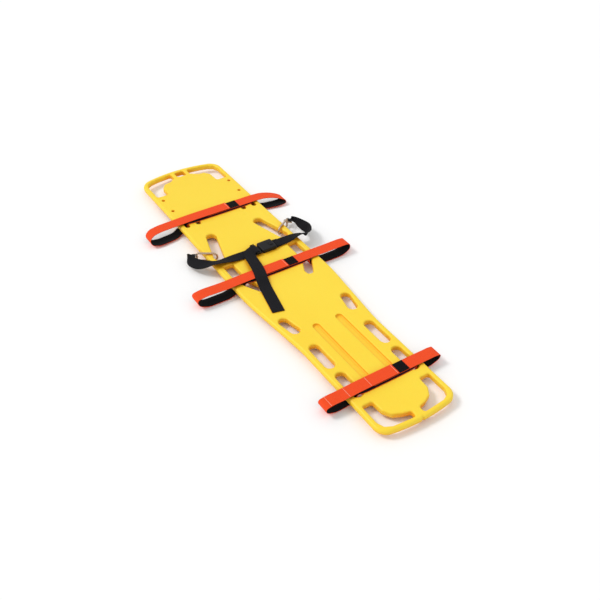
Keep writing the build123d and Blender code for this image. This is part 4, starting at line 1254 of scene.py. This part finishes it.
# loose tail that lies towards the foot end
TAIL_KEYS = (
    ((-32, 164.5, 51.9), (0, 1, 0), 47.4),
    ((-41, 158, 51.8), (-0.35, 0.94, 0), 48),
    ((-51, 144, 51.6), (-0.75, 0.66, 0), 48),
    ((-57, 122, 51.8), (-0.96, 0.25, 0), 48),
    ((-62, 95, 53.6), (-1, 0.22, 0.02), 49),
    ((-69, 58, 55.0), (-1, 0.25, 0), 50),
    ((-77, 25, 55.2), (-1, 0.27, -0.02), 50),
    ((-87, -6, 53.2), (-1, 0.29, -0.02), 50),
    ((-98, -50, 44.6), (-1, 0.28, 0), 50),
    ((-110, -105, 42.6), (-1, 0.26, 0), 50),
    ((-122, -160, 42.3), (-1, 0.24, 0), 50),
    ((-133, -208, 42.4), (-1, 0.24, 0), 50),
)


def web_row(point, direction, width):
    return list(point) + list(unit(V(*direction))) + [width]


def fold_rows(points):
    return [web_row((x, BUCKLE_Y, z), (0, 1, 0), WEB_AT_BUCKLE) for x, z in points]


def free_rows(keys):
    return list(catmull([web_row(*key) for key in keys], per=8))


def eye_wrap(side):
    """Band folded round the inside of a hook's outer eye bar."""
    u = hook_axis(side)
    across = V(-u[1], u[0], 0) * side
    near = EYE_S - EYE_BAR - 0.3 - WEB_HALF
    high = 3.0 + WEB_HALF
    # s, and height from the middle of the eye
    fold = ((EYE_S + 13, -1.5), (EYE_S + 6, -high + 0.6), (EYE_S + 1, -high),
            (near + 1.6, -high + 0.5), (near + 0.3, -high + 1.7), (near, 0.0),
            (near + 0.3, high - 1.7), (near + 1.6, high - 0.5), (EYE_S + 1, high),
            (EYE_S + 6, high - 0.6), (EYE_S + 13, 1.5), (EYE_S + 15, 1.5))
    return [list(hook_point(side, s, EYE_Z + z)) + list(across) + [WEB_AT_EYE] for s, z in fold]


def black_stitches(seam):
    return stitch_row(seam, BLACK_THREAD, length=2.4, gap=1.0, radius=0.3)


def stitch_box(band, start, end):
    """Rectangle of stitches where an end is sewn down."""
    rows = [black_stitches(seam_along(band, start, end, place, WEB_HALF))
            for place in (-0.8, 0.8)]
    inset = band.half.mean() * 0.2
    return rows + [black_stitches(seam_across(band, at, inset, WEB_HALF)) for at in (start, end)]


def harness_band(side_name, path):
    ob, band = ribbon("harness_" + side_name + "_web", path, -WEB_HALF, WEB_HALF, step=2.2,
                      smoothing=2)
    finish_piece(ob, BLACK_WEB, "board", "harness_strap_" + side_name)
    return band


right_band = harness_band("right", fold_rows(RIGHT_FOLD) + free_rows(RIGHT_KEYS) + eye_wrap(1))
right_end = right_band.along[-1]
finish_stitching("harness_right_stitching",
                 stitch_box(right_band, 3.0, 20.0)
                 + stitch_box(right_band, right_end - 12.0, right_end - 3.0))

left_band = harness_band("left", eye_wrap(-1)[::-1] + free_rows(LEFT_KEYS)[::-1]
                         + fold_rows(LEFT_FOLD) + free_rows(TAIL_KEYS))
left_rows = stitch_box(left_band, 3.0, 12.0)
# seams across both faces near the end of the tail
for from_end in (5.0, 18.0):
    for face_offset in (WEB_HALF, -WEB_HALF):
        left_rows.append(black_stitches(
            seam_across(left_band, left_band.along[-1] - from_end, 3.0, face_offset)))
finish_stitching("harness_left_stitching", left_rows)

# ------------------------------------------------------------------
# buckle: the tongue enters at the low-x end, the frame leaves at the high-x end
# ------------------------------------------------------------------
BUCKLE_X0, BUCKLE_X1 = 10.0, 78.0
BUCKLE_X = (BUCKLE_X0 + BUCKLE_X1) / 2
BUCKLE_HALF_X, BUCKLE_HALF_Y = (BUCKLE_X1 - BUCKLE_X0) / 2, 30.0
COVER_LOW, COVER_TOP, COVER_CORNER, COVER_EDGE = 43.9, 58.0, 7.0, 4.2
BASE_LOW, BASE_TOP, BASE_CORNER = 41.0, 43.8, 6.0
BUTTON_X, BUTTON_HALF_X, BUTTON_HALF_Y, BUTTON_CORNER = 62, 8.0, 12.0, 3.0
BUTTON_LOW, BUTTON_TOP, BUTTON_CLEARANCE = 57.0, 60.2, 0.2
RIB_PITCH, RIB_HALF, RIB_RADIUS = 3.0, 5.6, 0.42
# cuts in the cover's end walls: x from, x to, half width, z from, z to
COVER_CUTS = ((BUCKLE_X0 - 3, BUCKLE_X0 + 6, 17.5, 43.0, 49.8),
              (BUCKLE_X1 - 6, BUCKLE_X1 + 3, 27.3, 43.0, 46.9))
ROLLER_X, ROLLER_Z = -13.0, 52.8
ROLLER_HALF, ROLLER_STEPS, ROLLER_SIDES = 28.7, 40, 64
ROLLER_RADIUS, KNURL_DEPTH = 3.35, 0.22
JOURNAL_HALF, JOURNAL_RADIUS = 31.4, 1.98


def rounded_outline(x, half_x, half_y, radius, steps, y=BUCKLE_Y):
    points = []
    for sign_x, sign_y, start in ((1, 1, 0), (-1, 1, 90), (-1, -1, 180), (1, -1, 270)):
        points += degree_arc(x + sign_x * (half_x - radius), y + sign_y * (half_y - radius),
                             radius, start, start + 90, steps)
    return points


def soft_block(x, half_x, half_y, corner, z0, z1, edge_top, edge_low, y=BUCKLE_Y):
    """Rounded block: stacked outlines, pulled in along the top and bottom edges."""
    levels = [(z0 + rise, inset) for rise, inset in quarter(edge_low, 6)]
    levels += [(z1 - drop, inset) for inset, drop in quarter(edge_top, 6)]
    verts = []
    for z, inset in levels:
        ring = rounded_outline(x, half_x - inset, half_y - inset, max(corner - inset, 0.4),
                               10, y)
        verts += [(px, py, z) for px, py in ring]
    count = len(ring)
    faces = walls(count, len(levels))
    faces.append(tuple(reversed(range(count))))
    last = len(verts) - count
    top = verts[last:]
    shrinks = (0.75, 0.5, 0.25)
    for share in shrinks:
        verts += [(x + (px - x) * share, y + (py - y) * share, z1) for px, py, _ in top]
    faces += walls(count, len(shrinks) + 1, last)
    faces.append(tuple(range(len(verts) - count, len(verts))))
    return make_object("block", verts, faces, angle=35)


def cut_box(ob, x0, x1, half_y, z0, z1):
    y0, y1 = BUCKLE_Y - half_y, BUCKLE_Y + half_y
    verts = [(x, y, z) for z in (z0, z1) for x, y in ((x0, y0), (x1, y0), (x1, y1), (x0, y1))]
    faces = [(0, 3, 2, 1), (4, 5, 6, 7), (0, 1, 5, 4), (1, 2, 6, 5), (2, 3, 7, 6), (3, 0, 4, 7)]
    cutter = make_object("cutter", verts, faces, smooth=False)
    cut = ob.modifiers.new("cut", "BOOLEAN")
    cut.operation = "DIFFERENCE"
    cut.solver = "EXACT"
    cut.object = cutter
    depsgraph = bpy.context.evaluated_depsgraph_get()
    mesh = bpy.data.meshes.new_from_object(ob.evaluated_get(depsgraph))
    ob.modifiers.clear()
    ob.data = mesh
    bpy.data.objects.remove(cutter, do_unlink=True)


def upper_cover():
    """Hollow cover, with a mouth for the tongue at one end, a way out for the
    frame at the other and the button opening on top."""
    bm = bmesh.new()

    def crown(x):
        # the top falls towards the tongue end
        t = (x - BUCKLE_X0) / (BUCKLE_X1 - BUCKLE_X0)
        return COVER_TOP - 1.6 * max(0.0, 1 - t / 0.45) ** 2

    def ring(centre_x, half_x, half_y, corner, drop=None):
        """Ring at a drop below the crown, or at the cover's lower rim."""
        made = []
        for x, y in rounded_outline(centre_x, half_x, half_y, corner, 12):
            z = COVER_LOW if drop is None else crown(x) - drop
            made.append(bm.verts.new((x * MM, y * MM, z * MM)))
        return made

    def cover_ring(inset, corner, drop=None):
        return ring(BUCKLE_X, BUCKLE_HALF_X - inset, BUCKLE_HALF_Y - inset, corner, drop)

    rings = [cover_ring(0, COVER_CORNER)]
    rings += [cover_ring(inset, max(COVER_CORNER - inset, 2.0), drop)
              for inset, drop in quarter(COVER_EDGE, 6)]
    for grow, drop in ((0.7, 0.0), (0.0, 0.6), (0.0, 2.2)):
        rings.append(ring(BUTTON_X, BUTTON_HALF_X + BUTTON_CLEARANCE + grow,
                          BUTTON_HALF_Y + BUTTON_CLEARANCE + grow,
                          BUTTON_CORNER + BUTTON_CLEARANCE + grow, drop))
    rings += [cover_ring(4.0, 4.0, 2.2), cover_ring(2.0, 5.0, 5.0), cover_ring(2.0, 5.0)]
    for a, b in zip(rings, rings[1:] + rings[:1]):
        for i in range(len(a)):
            j = (i + 1) % len(a)
            bm.faces.new((a[i], a[j], b[j], b[i]))
    bmesh.ops.recalc_face_normals(bm, faces=bm.faces)
    mesh = bpy.data.meshes.new("buckle_cover_top")
    bm.to_mesh(mesh)
    bm.free()
    ob = link_object("buckle_cover_top", mesh)
    for cut in COVER_CUTS:
        cut_box(ob, *cut)
    for polygon in ob.data.polygons:
        polygon.use_smooth = True
    ob.data.set_sharp_from_angle(angle=math.radians(35))
    return ob


def lower_cover():
    ob = soft_block(BUCKLE_X, BUCKLE_HALF_X, BUCKLE_HALF_Y, BASE_CORNER, BASE_LOW, BASE_TOP,
                    edge_top=0.5, edge_low=1.6)
    ob.name = "buckle_cover_base"
    return ob


def push_button():
    """Ribbed push button with its inner rib and retaining strips."""
    parts = [soft_block(BUTTON_X, BUTTON_HALF_X, BUTTON_HALF_Y, BUTTON_CORNER, BUTTON_LOW,
                        BUTTON_TOP, edge_top=0.9, edge_low=0.2)]
    for k in range(-3, 4):
        y = BUCKLE_Y + k * RIB_PITCH
        path = [(BUTTON_X - RIB_HALF, y, BUTTON_TOP), (BUTTON_X, y, BUTTON_TOP + 0.15),
                (BUTTON_X + RIB_HALF, y, BUTTON_TOP)]
        parts.append(tube("rib", path, RIB_RADIUS, sides=10, step=0.8, smoothing=0))
    parts.append(soft_block(61.1, 0.9, 6.0, 0.45, 54.05, 57.2, edge_top=0.1, edge_low=0.3))
    for sign in (1, -1):
        parts.append(soft_block(BUTTON_X, 7.0, 2.75, 0.6, 54.4, 55.8, edge_top=0.2,
                                edge_low=0.2, y=BUCKLE_Y + sign * 11.25))
        parts.append(soft_block(BUTTON_X, 7.0, 1.5, 0.6, 55.6, 57.2, edge_top=0.1,
                                edge_low=0.1, y=BUCKLE_Y + sign * 10.0))
    return join("push_button_cap", parts)


def adjuster_roller():
    """Knurled bar on a thinner journal."""
    verts = []
    for i in range(ROLLER_STEPS + 1):
        y = BUCKLE_Y - ROLLER_HALF + i * (2 * ROLLER_HALF) / ROLLER_STEPS
        for k in range(ROLLER_SIDES):
            t = 2 * math.pi * k / ROLLER_SIDES
            radius = ROLLER_RADIUS - (KNURL_DEPTH if k % 4 == 0 else 0.0)
            verts.append((ROLLER_X + radius * math.cos(t), y, ROLLER_Z + radius * math.sin(t)))
    faces = walls(ROLLER_SIDES, ROLLER_STEPS + 1)
    faces.append(tuple(reversed(range(ROLLER_SIDES))))
    faces.append(tuple(ROLLER_STEPS * ROLLER_SIDES + k for k in range(ROLLER_SIDES)))
    bar = make_object("bar", verts, faces, angle=30)
    path = [(ROLLER_X, BUCKLE_Y + share * JOURNAL_HALF, ROLLER_Z) for share in (-1, 0, 1)]
    journal = tube("journal", path, JOURNAL_RADIUS, sides=24, step=4, smoothing=0)
    return join("adjuster_roller", [bar, journal])


finish_piece(upper_cover(), BUCKLE_BLACK, "board", "buckle_cover_upper")
finish_piece(lower_cover(), BUCKLE_BLACK, "board", "buckle_cover_lower")
finish_piece(push_button(), BUTTON_BLACK, "button", "push_button")
finish_piece(adjuster_roller(), DARK_STEEL, "adjuster", "adjuster_bar")

# ------------------------------------------------------------------
# stage, light, camera (metres, degrees)
# ------------------------------------------------------------------
FLOOR_HALF, FLOOR_Z = 30, -0.0004
WORLD_STRENGTH = 0.78
SUN_FROM, SUN_DISTANCE = Vector((-0.62, 0.50, 0.85)), 4
SUN_STRENGTH, SUN_SPREAD = 1.25, 16.0
CAMERA_AZIMUTH, CAMERA_ELEVATION, CAMERA_ROLL = -35.38686, 40.65958, 2.65472
CAMERA_DISTANCE = 3.106925
CAMERA_TARGET = Vector((-0.018066, -0.184218, 0.0320))
SENSOR_WIDTH, FOCAL_LENGTH = 36.0, 47.4  # mm


def floor_paper():
    sh = Shader("floor_paper")
    patches = sh.noise(sh.place(), scale=6.0, detail=2.0, roughness=0.5)
    colour = sh.ramp(patches, start=(0.0, (0.945, 0.945, 0.945, 1)),
                     end=(1.0, (0.965, 0.965, 0.965, 1)))
    return sh.set(Base_Color=colour, Roughness=0.9, Specular_IOR_Level=0.1)


def add_floor():
    h = FLOOR_HALF
    mesh = bpy.data.meshes.new("floor")
    mesh.from_pydata([(-h, -h, 0), (h, -h, 0), (h, h, 0), (-h, h, 0)], [], [(0, 1, 2, 3)])
    floor = link_object("floor", mesh)
    floor.location.z = FLOOR_Z
    mesh.materials.append(floor_paper())


def add_world():
    world = bpy.data.worlds.new("studio")
    bpy.context.scene.world = world
    world.use_nodes = True
    background = world.node_tree.nodes["Background"]
    background.inputs["Color"].default_value = (1.0, 1.0, 1.0, 1)
    background.inputs["Strength"].default_value = WORLD_STRENGTH


def add_sun():
    light = bpy.data.lights.new("key", "SUN")
    light.energy = SUN_STRENGTH
    light.angle = math.radians(SUN_SPREAD)
    sun = link_object("key", light)
    sun.location = SUN_FROM.normalized() * SUN_DISTANCE
    sun.rotation_mode = "QUATERNION"
    sun.rotation_quaternion = (-SUN_FROM).to_track_quat("-Z", "Y")


def add_camera():
    azimuth, elevation, roll = (math.radians(angle) for angle in
                                (CAMERA_AZIMUTH, CAMERA_ELEVATION, CAMERA_ROLL))
    back = Vector((math.sin(azimuth) * math.cos(elevation),
                   -math.cos(azimuth) * math.cos(elevation), math.sin(elevation)))
    level = Vector((math.cos(azimuth), math.sin(azimuth), 0))
    upright = back.cross(level)
    right = level * math.cos(roll) + upright * math.sin(roll)
    up = -level * math.sin(roll) + upright * math.cos(roll)
    data = bpy.data.cameras.new("camera")
    data.sensor_width = SENSOR_WIDTH
    data.lens = FOCAL_LENGTH
    camera = link_object("camera", data)
    turn = Matrix((right, up, back)).transposed().to_4x4()
    camera.matrix_world = Matrix.Translation(CAMERA_TARGET + back * CAMERA_DISTANCE) @ turn
    bpy.context.scene.camera = camera


add_floor()
add_world()
add_sun()
add_camera()
bpy.context.scene.view_settings.view_transform = "Standard"
